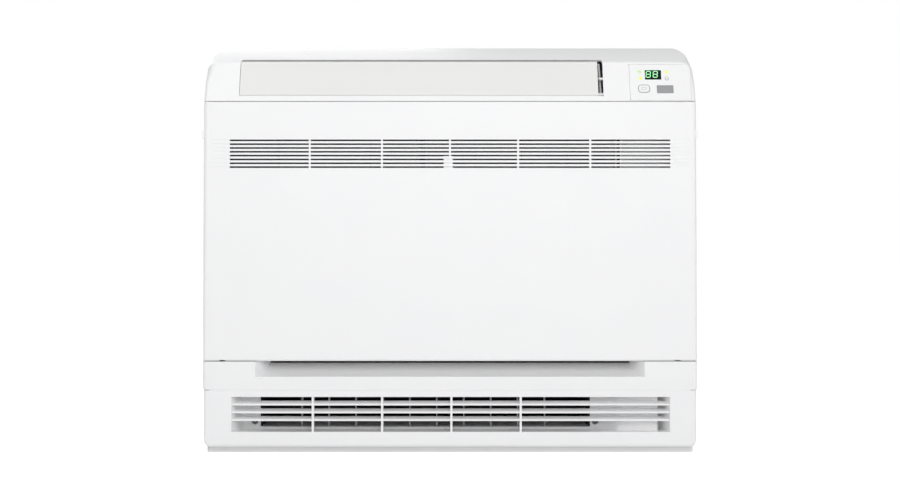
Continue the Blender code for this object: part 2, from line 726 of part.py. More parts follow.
def make_front_panel(white):
    lean = math.degrees(PANEL_LEAN)
    nose = arc(HINGE, NOSE_RADIUS, 270, 180 - lean, 4)
    top = (panel_face_depth(PANEL_TOP), PANEL_TOP)
    ledge = 1.2 * MM
    top_front = [(panel_face_depth(PANEL_TOP - ledge), PANEL_TOP - ledge), (top[0] + ledge, PANEL_TOP)]
    outline = [(PANEL_SILL, PANEL_BOTTOM), *nose, *top_front, (PANEL_RETURN, PANEL_TOP)]
    inward = [(0, 0)] + [(1, 0)] * (len(outline) - 2) + [(0, 0)]
    radii = [PANEL_LIP_SPREAD] + [EDGE_ROUND] * (len(outline) - 2) + [PANEL_LIP_SPREAD]
    rear = [(PANEL_RETURN, PANEL_BOTTOM)]
    panel = skin("front_panel", outline, inward, radii, rear, HALF, white)

    edges = [-SLOT_HALF_WIDTH]
    for rib in SLOT_RIBS:
        edges += [rib - SLOT_RIB_WIDTH / 2, rib + SLOT_RIB_WIDTH / 2]
    edges.append(SLOT_HALF_WIDTH)
    slots, grooves = [], []
    for row in range(SLOT_ROWS):
        low = SLOT_BOTTOM + row * SLOT_PITCH
        span = (low, low + SLOT_OPENING)
        face = panel_face_depth(low)
        for left, right in zip(edges[::2], edges[1::2]):
            slots.append(((left, right), (face - 3 * MM, face + WALL + 2 * MM), span))
        for side in (-1, 1):
            ends = sorted((side * (SLOT_HALF_WIDTH + 2 * MM), side * GROOVE_END))
            grooves.append((ends, (face - 3 * MM, face + GROOVE_DEPTH), span))
    cut(panel, blocks("panel_slots", slots), blocks("panel_grooves", grooves))

    boss_low = SLOT_BOTTOM - 4 * MM
    boss_face = panel_face_depth(boss_low) + WALL
    boss = (
        (-BOSS_SIZE[0] * 0.7, BOSS_SIZE[0] * 0.3),
        (boss_face - 0.5 * MM, boss_face + BOSS_SIZE[1]),
        (boss_low, boss_low + BOSS_SIZE[2]),
    )
    join(panel, blocks("panel_boss", [boss]))

    out, long, tall = TAB_SIZE
    tab_depth = PANEL_RETURN - 6 * MM - long
    tabs = []
    for side in (-1, 1):
        ends = sorted((side * (HALF - 1 * MM), side * (HALF + out)))
        tabs.append(
            (ends, (tab_depth, tab_depth + long), (TAB_HEIGHT - tall / 2, TAB_HEIGHT + tall / 2))
        )
    join(panel, blocks("panel_tabs", tabs))

    notches, cheeks, sockets = [], [], []
    for side in (-1, 1):
        middle = side * EAR_X
        left = middle - EAR_WIDTH / 2 - RUN
        right = middle + EAR_WIDTH / 2 + RUN
        front = HINGE[0] - EYE_RADIUS - 0.5 * MM
        notches.append(
            (
                (left, right),
                (front, PANEL_SILL + 1 * MM),
                (PANEL_BOTTOM - 1 * MM, PANEL_BOTTOM + 6.4 * MM),
            )
        )
        reach = HINGE_PIN_REACH + SEAM
        sockets.append(((left - reach, *HINGE), (right + reach, *HINGE)))
        cheek_x = (left - reach - 1 * MM, right + reach + 1 * MM)
        cheeks.append(
            (
                cheek_x,
                (HINGE[0] - 1.6 * MM, HINGE[0] + 5 * MM),
                (HINGE[1] - 2.2 * MM, HINGE[1] + 4 * MM),
            )
        )
    join(panel, blocks("panel_cheeks", cheeks))
    cut(panel, blocks("panel_notches", notches))
    cut(panel, rods("panel_sockets", sockets, HINGE_PIN_RADIUS + 0.35 * MM, 12))
    close_slivers(panel)
    return pivot_at(panel, 0, *HINGE)


def scoop_outline():
    """Section of the curved hand recess wall, from the ridge back and up to the lower rail."""
    start, rise = 1.0 * MM, RIDGE_HEIGHT - 0.3 * MM
    steps = 8
    upper = []
    for k in range(steps + 1):
        share = k / steps
        depth = start + (RECESS_DEPTH - start) * share
        upper.append((depth, rise + (PANEL_BOTTOM + 2 * MM - rise) * share**2.2))
    lower = [(depth + 0.6 * WALL, z - WALL) for depth, z in upper]
    return upper + lower[::-1]


def make_cabinet_frame(white):
    wing_top = PANEL_BOTTOM - SEAM
    outline = [(0.9 * MM, COVER_TOP + SEAM), (0.0, RIDGE_HEIGHT), (0.4 * MM, wing_top)]
    side_front = PANEL_RETURN + RUN
    side_top = CAP_BOTTOM - SEAM
    rear = [
        (side_front, wing_top),
        (side_front, side_top),
        (REAR_SPLIT - SEAM, side_top),
        (REAR_SPLIT - SEAM, COVER_TOP + SEAM),
    ]
    frame = skin("cabinet_frame", outline, [(1, 0)] * 3, [EDGE_ROUND] * 3, rear, HALF, white)
    mouth = (
        (-RECESS_HALF, RECESS_HALF),
        (-2 * MM, 4 * MM),
        (RIDGE_HEIGHT + RIDGE_LIP, PANEL_BOTTOM + 2 * MM),
    )
    cut(frame, blocks("recess_mouth", [mouth]))
    join(
        frame,
        prism("recess_scoop", [scoop_outline()], -RECESS_HALF - 1 * MM, RECESS_HALF + 1 * MM, "X"),
    )
    front, back = 0.9 * MM, RECESS_DEPTH + 1 * MM
    for side in (-1, 1):
        cheek = [
            (side * RECESS_HALF, front),
            (side * (RECESS_HALF + WALL), front),
            (side * (RECESS_DEEP_HALF + WALL), back),
            (side * RECESS_DEEP_HALF, back),
        ]
        join(
            frame,
            prism(f"recess_cheek_{side}", [cheek], RIDGE_HEIGHT - 1 * MM, wing_top - 0.2 * MM, "Z"),
        )

    inner = HALF - WALL / 2
    rail_depth = (RECESS_DEPTH - 0.5 * MM, RECESS_DEPTH + 2.4 * MM)
    lower_rail = (
        (-inner, inner),
        rail_depth,
        (PANEL_BOTTOM + 1 * MM, PANEL_BOTTOM + 1 * MM + RAIL_HEIGHT),
    )
    top_rail = (
        (-inner, inner),
        (FILTER_DEPTH - 2 * MM, FILTER_DEPTH + 8 * MM),
        (TOP_RAIL_LOW, TOP_RAIL_LOW + 8 * MM),
    )
    join(frame, blocks("frame_lower_rail", [lower_rail]), blocks("frame_top_rail", [top_rail]))

    low, high = PANEL_BOTTOM + 3 * MM, TOP_RAIL_LOW + 2 * MM
    bar_front, bar_back = FILTER_DEPTH - FILTER_WALL / 2 - 1.6 * MM, RAIL_BACK
    lip = 2.5 * MM
    middle = (AIR_LEFT + AIR_RIGHT) / 2
    half_gap = FILTER_GAP / 2 - SEAT
    bars = [
        [
            (AIR_LEFT - 6 * MM, bar_back),
            (AIR_LEFT - 6 * MM, bar_front),
            (AIR_LEFT + lip, bar_front),
            (AIR_LEFT + lip, bar_front + 1.2 * MM),
            (AIR_LEFT - SEAT, bar_front + 1.2 * MM),
            (AIR_LEFT - SEAT, bar_back),
        ],
        [
            (middle - half_gap, bar_back),
            (middle - half_gap, bar_front + 1.2 * MM),
            (middle - half_gap - lip, bar_front + 1.2 * MM),
            (middle - half_gap - lip, bar_front),
            (middle + half_gap + lip, bar_front),
            (middle + half_gap + lip, bar_front + 1.2 * MM),
            (middle + half_gap, bar_front + 1.2 * MM),
            (middle + half_gap, bar_back),
        ],
        [
            (AIR_RIGHT + 6 * MM, bar_back),
            (AIR_RIGHT + SEAT, bar_back),
            (AIR_RIGHT + SEAT, bar_front + 1.2 * MM),
            (AIR_RIGHT - lip, bar_front + 1.2 * MM),
            (AIR_RIGHT - lip, bar_front),
            (AIR_RIGHT + 6 * MM, bar_front),
        ],
    ]
    for number, bar in enumerate(bars):
        join(frame, prism(f"filter_rail_{number}", [bar], low, high, "Z"))

    arms, eyes, pins = [], [], []
    for side in (-1, 1):
        left, right = side * EAR_X - EAR_WIDTH / 2, side * EAR_X + EAR_WIDTH / 2
        arms.append(
            (
                (left, right),
                (HINGE[0], RECESS_DEPTH + 1 * MM),
                (HINGE[1] - 1.9 * MM, HINGE[1] + 2.2 * MM),
            )
        )
        eyes.append(((left + EYE_STEP, *HINGE), (right - EYE_STEP, *HINGE)))
        reach = HINGE_PIN_REACH
        pins.append(((left - reach, *HINGE), (right + reach, *HINGE)))
    join(frame, blocks("hinge_arms", arms), rods("hinge_eyes", eyes, EYE_RADIUS, 16))
    join(frame, rods("hinge_pins", pins, HINGE_PIN_RADIUS, 10))
    close_slivers(frame)
    return frame


TOP_RAIL_LOW = PANEL_BOTTOM + 16 * MM + FILTER_HEIGHT + FILTER_LIFT + RUN


def cover_section(half, top):
    """The lower cover seen from the front: square above, with rounded lower corners."""
    low = FOOT_HEIGHT + COVER_CORNER
    left = arc((-half + COVER_CORNER, low), COVER_CORNER, 180, 270, 5)
    right = arc((half - COVER_CORNER, low), COVER_CORNER, 270, 360, 5)
    return [*left, *right, (half, top), (-half, top)]


def soften_front(casing, depth, top, width):
    """Rounds the edges round the front face, apart from its upper one."""
    work = bmesh.new()
    work.from_mesh(casing.data)
    plane = FRONT + depth
    edges = []
    for edge in work.edges:
        ends = [vertex.co for vertex in edge.verts]
        on_front = all(abs(end.y - plane) < MERGE for end in ends)
        on_top = all(end.z > top - MERGE for end in ends)
        if on_front and not on_top:
            edges.append(edge)
    bmesh.ops.bevel(work, geom=edges, offset=width, segments=3, profile=0.5, affect="EDGES")
    work.to_mesh(casing.data)
    work.free()


def make_lower_cover(white):
    half = HALF - COVER_INSET
    top = COVER_TOP - SEAM / 2
    front = COVER_DEPTH_FRONT
    outline = cover_section(half, top)
    cover = prism("lower_cover", [outline], front, REAR_SPLIT - SEAM, "Y", white)
    soften_front(cover, front, top, COVER_EDGE)
    inner = grown(cover_section(half, top + 20 * MM), -WALL)
    hollow = prism("cover_hollow", [inner], front + WALL, REAR_SPLIT + 5 * MM, "Y")
    soften_front(hollow, front + WALL, top, COVER_EDGE - WALL)
    cut(cover, hollow)
    floor_half = half - 14 * MM
    opening = ((-floor_half, floor_half), (28 * MM, REAR_SPLIT + 5 * MM), (0.0, 20 * MM))
    cut(cover, blocks("cover_floor_opening", [opening]))

    pocket = (
        POCKET_LEFT - WALL,
        POCKET_RIGHT + WALL,
    ), (front + 1 * MM, POCKET_DEPTH + WALL), (POCKET_BOTTOM - WALL, POCKET_TOP + WALL)
    join(cover, blocks("pocket_body", [pocket]))
    air = [
        (POCKET_LEFT, front - 3 * MM),
        (POCKET_RIGHT, front - 3 * MM),
        (POCKET_RIGHT, front),
        (POCKET_RIGHT - POCKET_TAPER, POCKET_DEPTH),
        (POCKET_LEFT + POCKET_TAPER, POCKET_DEPTH),
        (POCKET_LEFT, front),
    ]
    cut(cover, prism("pocket_air", [air], POCKET_BOTTOM, POCKET_TOP, "Z"))
    outlet = (
        (OUTLET_LEFT, OUTLET_RIGHT),
        (POCKET_DEPTH - 2 * MM, POCKET_DEPTH + 6 * MM),
        (DUCT_LOW, DUCT_ROOF - 1 * MM),
    )
    cut(cover, blocks("outlet_mouth", [outlet]))

    cheek_start = OUTLET_RIGHT + 2 * MM
    cheek_end = POCKET_RIGHT - POCKET_TAPER - 4 * MM
    curve = arc((cheek_start, POCKET_DEPTH - CHEEK_RADIUS), CHEEK_RADIUS, 90, 50, 6)
    behind = POCKET_DEPTH + 1 * MM
    cheek = [*curve, (cheek_end, curve[-1][1] - 4 * MM), (cheek_end, behind), (cheek_start, behind)]
    join(cover, prism("outlet_cheek", [cheek], POCKET_BOTTOM - 1 * MM, POCKET_TOP + 1 * MM, "Z"))

    for number, low in enumerate(SLAT_FRONTS):
        nose_top = low + SLAT_NOSE
        tail = (SLAT_DEPTH + SLAT_CHORD, nose_top + SLAT_CHORD * math.tan(SLAT_TILT))
        slat = [(SLAT_DEPTH, low), (SLAT_DEPTH, nose_top), tail, (tail[0], tail[1] - SLAT_TAIL)]
        join(cover, prism(f"slat_{number}", [slat], POCKET_LEFT - 1 * MM, POCKET_RIGHT + 1 * MM, "X"))
    ribs = []
    for x in COVER_RIBS:
        ribs.append(
            (
                (x - COVER_RIB_WIDTH / 2, x + COVER_RIB_WIDTH / 2),
                (SLAT_DEPTH - 0.8 * MM, SLAT_DEPTH + SLAT_CHORD - 3 * MM),
                (POCKET_BOTTOM - 1 * MM, POCKET_TOP + 1 * MM),
            )
        )
    join(cover, blocks("cover_ribs", ribs))

    well_back = POCKET_DEPTH + WALL + 6 * MM
    wells, holes, shanks = [], [], []
    for x in SCREW_X:
        wells.append(((x, POCKET_DEPTH + 1 * MM, SCREW_Z), (x, well_back + 2 * MM, SCREW_Z)))
        holes.append(((x, POCKET_DEPTH - 4 * MM, SCREW_Z), (x, well_back, SCREW_Z)))
        shanks.append(((x, POCKET_DEPTH, SCREW_Z), (x, well_back + 4 * MM, SCREW_Z)))
    join(cover, rods("screw_wells", wells, SCREW_WELL + 1.8 * MM, 20))
    cut(cover, rods("screw_well_holes", holes, SCREW_WELL, 20))
    cut(cover, rods("screw_clearances", shanks, SCREW_SHANK + 0.4 * MM, 12))
    close_slivers(cover)
    return cover


SCREW_SEAT = POCKET_DEPTH + WALL + 6 * MM


def make_cover_screws(steel):
    for name, x in zip(("cover_screw_left", "cover_screw_right"), SCREW_X):
        work = bmesh.new()
        add_rod(
            work,
            (x, SCREW_SEAT - SEAT - 2.4 * MM, SCREW_Z),
            (x, SCREW_SEAT - SEAT, SCREW_Z),
            SCREW_HEAD,
            20,
        )
        head = from_bmesh(name, work, steel)
        shank = rods(
            name + "_shank",
            [((x, SCREW_SEAT - 1 * MM, SCREW_Z), (x, SCREW_SEAT + SCREW_LENGTH, SCREW_Z))],
            SCREW_SHANK,
            10,
        )
        join(head, shank)
        slot = SCREW_SEAT - SEAT - 2.4 * MM
        bars = [
            (
                (x - 2.4 * MM, x + 2.4 * MM),
                (slot - 1 * MM, slot + 1.2 * MM),
                (SCREW_Z - 0.5 * MM, SCREW_Z + 0.5 * MM),
            )
        ]
        cross = [
            (
                (x - 0.5 * MM, x + 0.5 * MM),
                (slot - 1 * MM, slot + 1.2 * MM),
                (SCREW_Z - 2.4 * MM, SCREW_Z + 2.4 * MM),
            )
        ]
        cut(head, blocks(name + "_bar", bars), blocks(name + "_cross", cross))


def make_base_foot(grey):
    inset_side, inset_front = 4.5 * MM, 11 * MM
    outline = rounded(-HALF + inset_side, HALF - inset_side, inset_front, DEPTH - 6 * MM, 6 * MM)
    foot = prism("base_foot", [outline], 0.0, FOOT_HEIGHT - SEAT, "Z", grey)
    pockets = [
        (
            (-HALF + 20 * MM, -10 * MM),
            (inset_front + 14 * MM, DEPTH - 20 * MM),
            (3 * MM, FOOT_HEIGHT + 2 * MM),
        ),
        (
            (10 * MM, HALF - 20 * MM),
            (inset_front + 14 * MM, DEPTH - 20 * MM),
            (3 * MM, FOOT_HEIGHT + 2 * MM),
        ),
    ]
    return cut(foot, blocks("foot_pockets", pockets))


BRACKET_HALF = 250 * MM
BRACKET_HEIGHT = (400 * MM, 450 * MM)
BRACKET_WALL = 1.5 * MM
PIPE_DOOR = ((HALF - 88 * MM, HALF - 18 * MM), (44 * MM, 104 * MM))


def make_rear_base(grey):
    half = HALF
    top = CAP_BOTTOM - SEAM
    low_left = arc((-half + COVER_CORNER, FOOT_HEIGHT + COVER_CORNER), COVER_CORNER, 180, 270, 4)
    low_right = arc((half - COVER_CORNER, FOOT_HEIGHT + COVER_CORNER), COVER_CORNER, 270, 360, 4)
    outline = [*low_left, *low_right, (half, top), (-half, top)]
    base = prism("rear_base", [outline], REAR_SPLIT, DEPTH, "Y", grey)
    inner = grown(outline[:-2] + [(half, top + 20 * MM), (-half, top + 20 * MM)], -FLOOR)
    cut(base, prism("rear_hollow", [inner], REAR_SPLIT - 5 * MM, DEPTH - BACK_WALL, "Y"))
    inner_half = half - WALL - 4 * MM
    floor = (
        (-inner_half + 16 * MM, inner_half - 16 * MM),
        (29 * MM, REAR_SPLIT + 5 * MM),
        (FOOT_HEIGHT, FOOT_HEIGHT + FLOOR - 0.2 * MM),
    )
    join(base, blocks("rear_floor", [floor]))
    wall_half = half - CAP_INSET - WALL - RUN
    wall_top = HEIGHT - WALL - 1.6 * MM
    upper = rounded(-wall_half, wall_half, top - 20 * MM, wall_top, 2 * MM, 2)
    join(base, prism("rear_upper_wall", [upper], DEPTH - BACK_WALL, DEPTH - 0.1 * MM, "Y"))
    recess = (
        (-BRACKET_HALF - SEAT, BRACKET_HALF + SEAT),
        (DEPTH - BRACKET_WALL - SEAT, DEPTH + 3 * MM),
        (BRACKET_HEIGHT[0] - SEAT, BRACKET_HEIGHT[1] + SEAT),
    )
    cut(base, blocks("bracket_recess", [recess]))
    cut(base, blocks("pipe_door", [(PIPE_DOOR[0], (DEPTH - 10 * MM, DEPTH + 5 * MM), PIPE_DOOR[1])]))
    return base


def make_wall_bracket(steel):
    outline = rounded(-BRACKET_HALF, BRACKET_HALF, *BRACKET_HEIGHT, 3 * MM, 2)
    middle = sum(BRACKET_HEIGHT) / 2
    holes = [arc((x * MM, middle), 3 * MM, 0, 330, 11) for x in (-210, -120, 120, 210)]
    return prism("wall_bracket", [outline, *holes], DEPTH - BRACKET_WALL, DEPTH, "Y", steel)


# Intake side: filters, coil, pan and pipes


FILTER_LOW = PANEL_BOTTOM + 16 * MM


def make_filter(name, left, right, dark):
    depth = (FILTER_DEPTH - FILTER_WALL / 2, FILTER_DEPTH + FILTER_WALL / 2)
    outer = [
        (left, FILTER_LOW),
        (right, FILTER_LOW),
        (right, FILTER_LOW + FILTER_HEIGHT),
        (left, FILTER_LOW + FILTER_HEIGHT),
    ]
    cells = []
    wide = (right - left - 2 * FILTER_FRAME + FILTER_BAR) / FILTER_COLUMNS
    tall = (FILTER_HEIGHT - 2 * FILTER_FRAME + FILTER_BAR) / FILTER_ROWS
    for column in range(FILTER_COLUMNS):
        for row in range(FILTER_ROWS):
            x = left + FILTER_FRAME + column * wide
            z = FILTER_LOW + FILTER_FRAME + row * tall
            x_end, z_end = x + wide - FILTER_BAR, z + tall - FILTER_BAR
            cells.append([(x, z), (x_end, z), (x_end, z_end), (x, z_end)])
    made = prism(name, [outer, *cells], *depth, "Y", dark)
    return pivot_at(made, (left + right) / 2, FILTER_DEPTH, FILTER_LOW)


PAN_FRONT = RAIL_BACK + SEAT
PAN_LOW = CASING_LOW + 2 * MM
COIL_LEFT = AIR_LEFT + 8 * MM
COIL_RIGHT = AIR_RIGHT - 10 * MM
PLATE_WALL = 1.5 * MM


def make_coil(aluminium, copper, steel):
    pitch = (COIL_RIGHT - COIL_LEFT) / COIL_FINS
    back = COIL_FRONT + COIL_DEPTH
    comb = [(COIL_RIGHT, back), (COIL_LEFT, back)]
    for number in range(COIL_FINS):
        x = COIL_LEFT + number * pitch
        comb += [
            (x, COIL_FRONT),
            (x + pitch * 0.3, COIL_FRONT),
            (x + pitch * 0.3, COIL_FRONT + 8 * MM),
            (x + pitch, COIL_FRONT + 8 * MM),
        ]
    prism("evaporator_coil", [comb], COIL_LOW, COIL_HIGH, "Z", aluminium)

    step = (COIL_HIGH - COIL_LOW) / COIL_ROWS
    tube_depth = COIL_FRONT + COIL_DEPTH / 2
    low, high = COIL_LOW - 1 * MM, COIL_HIGH + 1 * MM
    for name, x, side in (("coil_plate_left", COIL_LEFT, -1), ("coil_plate_right", COIL_RIGHT, 1)):
        near, far = x + side * SEAT, x + side * (SEAT + PLATE_WALL)
        flange = x + side * 12 * MM
        outline = [
            (near, COIL_FRONT),
            (far, COIL_FRONT),
            (far, ORIFICE_DEPTH - SEAT - PLATE_WALL),
            (flange, ORIFICE_DEPTH - SEAT - PLATE_WALL),
            (flange, ORIFICE_DEPTH - SEAT),
            (near, ORIFICE_DEPTH - SEAT),
        ]
        plate = prism(name, [outline], low, high, "Z", steel)
        plate.data.materials.append(copper)
        bends = bmesh.new()
        for row in range(COIL_ROWS):
            z = COIL_LOW + (row + 0.25) * step
            reach = 9 * MM if side < 0 else 6 * MM
            for rise in (0, step / 2):
                add_rod(
                    bends,
                    (near, tube_depth, z + rise),
                    (x + side * reach, tube_depth, z + rise),
                    COIL_TUBE,
                    8,
                )
        stubs = from_bmesh(name + "_stubs", bends, None)
        join(plate, stubs)
        if side < 0:
            links = bmesh.new()
            for row in range(COIL_ROWS):
                z = COIL_LOW + (row + 0.25) * step
                x_bend = x - 7 * MM
                add_rod(
                    links,
                    (x_bend, tube_depth, z - COIL_TUBE * 0.6),
                    (x_bend, tube_depth, z + step / 2 + COIL_TUBE * 0.6),
                    COIL_TUBE * 0.9,
                    8,
                )
            join(plate, from_bmesh("return_bends", links, None))


def make_drain_pan(white):
    low, high = PAN_LOW, COIL_LOW - 1.6 * MM
    front, back = PAN_FRONT, ORIFICE_DEPTH - SEAT
    left, right = AIR_LEFT - 4 * MM, AIR_RIGHT + 4 * MM
    pan = blocks("drain_pan", [((left, right), (front, back), (low, high))], white)
    hollow = ((left + WALL, right - WALL), (front + WALL, back - WALL), (low + WALL, high + 5 * MM))
    cut(pan, blocks("pan_hollow", [hollow]))
    ledge_depth = (COIL_FRONT + 8.5 * MM, COIL_FRONT + 14 * MM)
    ledge = ((AIR_LEFT + 40 * MM, AIR_RIGHT - 40 * MM), ledge_depth, (low + 1 * MM, COIL_LOW - SEAT))
    join(pan, blocks("pan_rest", [ledge]))
    depth, z = (front + back) / 2, low + 6 * MM
    join(pan, rods("pan_spout", [((left + 1 * MM, depth, z), (left - 16 * MM, depth, z))], 5 * MM, 12))
    cut(pan, rods("pan_drain", [((left + 6 * MM, depth, z), (left - 20 * MM, depth, z))], 3.3 * MM, 12))
    return pan


def make_pipe(name, radius, start_height, run_depth, door_x, material):
    """A joined pipe from the coil plate, down beside the pan and back to its flare nut at the door."""
    start = COIL_RIGHT + 6 * MM + SEAT
    run_x = AIR_RIGHT + 5.2 * MM + radius
    depth = COIL_FRONT + COIL_DEPTH / 2
    low = sum(PIPE_DOOR[1]) / 2
    end = DEPTH - 42 * MM
    points = [(start, depth, start_height), (run_x - 4 * MM, depth, start_height)]
    if run_depth > depth:
        points += [
            (run_x, depth + 5 * MM, start_height - 2 * MM),
            (run_x, run_depth - 3 * MM, start_height - 5 * MM),
        ]
    points += [
        (run_x, run_depth, start_height - 10 * MM),
        (run_x, run_depth, low + 90 * MM),
        (run_x + 2 * MM, run_depth + 5 * MM, low + 76 * MM),
        (door_x - 4 * MM, end - 40 * MM, low + 14 * MM),
        (door_x, end - 30 * MM, low + 3 * MM),
        (door_x, end - 20 * MM, low),
        (door_x, end, low),
    ]
    pipe = tube(name, points, radius, 2, material)
    nut = ((door_x, end - 8 * MM, low), (door_x, end + 12 * MM, low))
    return join(pipe, rods(name + "_nut", [nut], radius + 4 * MM, 6))


def make_pipes(copper):
    depth = COIL_FRONT + COIL_DEPTH / 2
    make_pipe("gas_pipe", 4.8 * MM, COIL_LOW + 42 * MM, depth, PIPE_DOOR[0][1] - 18 * MM, copper)
    make_pipe(
        "liquid_pipe",
        3.2 * MM,
        COIL_LOW + 93 * MM,
        depth + 18 * MM,
        PIPE_DOOR[0][0] + 16 * MM,
        copper,
    )


# Fan


def make_fan_orifice(steel):
    outline = [
        (CASING_LEFT - 30 * MM, CASING_LOW + 2 * MM),
        (AIR_RIGHT + 2 * MM, CASING_LOW + 2 * MM),
        (AIR_RIGHT + 2 * MM, CASING_HIGH),
        (CASING_LEFT - 30 * MM, CASING_HIGH),
    ]
    mouth = FAN_EYE - 4 * MM
    hole = arc((FAN_X, FAN_Z), mouth + 3 * MM, 0, 350, 35)
    plate = prism(
        "fan_orifice",
        [outline, hole],
        ORIFICE_DEPTH,
        ORIFICE_DEPTH + ORIFICE_WALL,
        "Y",
        steel,
    )
    lip_end = FAN_FRONT + 4 * MM
    lip = [
        (mouth + 5 * MM, ORIFICE_DEPTH + 0.5 * MM),
        (mouth + 4.6 * MM, ORIFICE_DEPTH + 2.5 * MM),
        (mouth + 1.6 * MM, ORIFICE_DEPTH + 5 * MM),
        (mouth + 1.6 * MM, lip_end),
        (mouth, lip_end),
        (mouth, ORIFICE_DEPTH + 4 * MM),
        (mouth + 2 * MM, ORIFICE_DEPTH + 0.5 * MM),
    ]
    join(plate, turned("bell_mouth", lip, (FAN_X, FAN_Z), 36))
    return plate


def make_fan_casing(foam):
    outer = [
        (CASING_LEFT, CASING_LOW),
        (CASING_RIGHT, CASING_LOW),
        (CASING_RIGHT, CASING_HIGH),
        (CASING_LEFT, CASING_HIGH),
    ]
    casing = prism("fan_casing", [outer], CASING_DEPTH, DEPTH - BACK_WALL - SEAT, "Y", foam)
    spread = math.degrees(math.acos(THROAT_HALF / SCROLL_RADIUS))
    right = arc((FAN_X, FAN_Z), SCROLL_RADIUS, -spread, spread, 12)
    left = arc((FAN_X, FAN_Z), SCROLL_RADIUS, 180 - spread, 180 + spread, 12)
    high, low = CASING_HIGH + 10 * MM, CASING_LOW - 10 * MM
    scroll = [
        *right,
        (FAN_X + THROAT_HALF, high),
        (FAN_X - THROAT_HALF, high),
        *left,
        (FAN_X - THROAT_HALF, low),
        (FAN_X + THROAT_HALF, low),
    ]
    return cut(casing, prism("scroll_air", [scroll], CASING_DEPTH - 5 * MM, CASING_BACK, "Y"))


def shroud_depth(radius):
    """Depth of the shroud's rear face at a radius."""
    share = min(max((radius - FAN_EYE) / (FAN_RADIUS - FAN_EYE), 0.0), 1.0)
    return FAN_FRONT + 6 * MM + 12 * MM * share


def make_turbo_fan(dark, steel):
    centre = (FAN_X, FAN_Z)
    wall = FAN_WALL
    bore = SHAFT_RADIUS + SEAT
    hub_front = FAN_FRONT + 12 * MM
    dish = MOTOR_RADIUS + 9 * MM
    disc = [
        (bore, hub_front),
        (HUB_RADIUS, hub_front),
        (HUB_RADIUS + 2 * MM, hub_front + 8 * MM),
        (dish, FAN_BACK - 18 * MM),
        (dish + 16 * MM, FAN_BACK - 2 * MM),
        (FAN_RADIUS, FAN_BACK - wall),
        (FAN_RADIUS, FAN_BACK),
        (dish + 15 * MM, FAN_BACK),
        (dish - 3 * MM, FAN_BACK - 15.5 * MM),
        (HUB_RADIUS + 1 * MM, hub_front + 11.5 * MM),
        (HUB_RADIUS, hub_front + 16 * MM),
        (bore, hub_front + 16 * MM),
    ]
    fan = turned("turbo_fan", disc, centre, 32, dark)
    start, stop = shroud_depth(FAN_EYE), shroud_depth(FAN_RADIUS)
    shroud = [
        (FAN_EYE, FAN_FRONT),
        (FAN_EYE + wall, FAN_FRONT),
        (FAN_EYE + wall, start - wall),
        (FAN_RADIUS + 1 * MM, stop - wall),
        (FAN_RADIUS + 1 * MM, stop),
        (FAN_EYE + 0.6 * MM, start),
        (FAN_EYE, start - 1 * MM),
    ]
    inner, lean = 96 * MM, math.radians(48)
    length = math.sqrt(
        (FAN_RADIUS - 1 * MM) ** 2 - (inner * math.sin(lean)) ** 2
    ) - inner * math.cos(lean)
    eye = FAN_EYE + 0.5 * MM
    start_along = math.sqrt(eye**2 - (inner * math.sin(lean)) ** 2) - inner * math.cos(lean)
    steps = 4
    outline = [(0.0, FAN_FRONT + 13 * MM)]
    for k in range(steps + 1):
        along = start_along + (length - start_along) * k / steps
        radius = math.sqrt(inner**2 + along**2 + 2 * inner * along * math.cos(lean))
        outline.append((along, shroud_depth(radius) - wall / 2))
    outline += [(length, FAN_BACK - wall / 2), (0.0, FAN_BACK - wall / 2)]
    blades = bmesh.new()
    for number in range(FAN_BLADES):
        angle = 2 * math.pi * number / FAN_BLADES
        root = Vector((math.cos(angle), 0, math.sin(angle))) * inner
        turn = Matrix.Rotation(-angle - lean, 4, "Y")
        place = Matrix.Translation(Vector((FAN_X, 0, FAN_Z)) + root) @ turn
        blade = prism(f"fan_blade_{number}", [outline], -0.9 * MM, 0.9 * MM, "Z", None, place)
        blades.from_mesh(blade.data)
        bpy.data.objects.remove(blade)
    join(fan, from_bmesh("fan_blades", blades, None))
    join(fan, turned("fan_shroud", shroud, centre, 32))

    shaft = rods(
        "motor_shaft",
        [((FAN_X, FAN_FRONT + 6 * MM, FAN_Z), (FAN_X, MOTOR_FRONT + 14 * MM, FAN_Z))],
        SHAFT_RADIUS,
        16,
        steel,
    )
    pivot_at(shaft, FAN_X, FAN_FRONT, FAN_Z)
    nut_front = FAN_FRONT + 5 * MM
    hexagon = arc(centre, 8 * MM, 0, 300, 5)
    hole = arc(centre, bore + 0.2 * MM, 0, 330, 11)
    nut = prism("fan_nut", [hexagon, hole], nut_front, hub_front - SEAT, "Y", steel)
    pivot_at(nut, FAN_X, nut_front, FAN_Z)
    return fan, nut


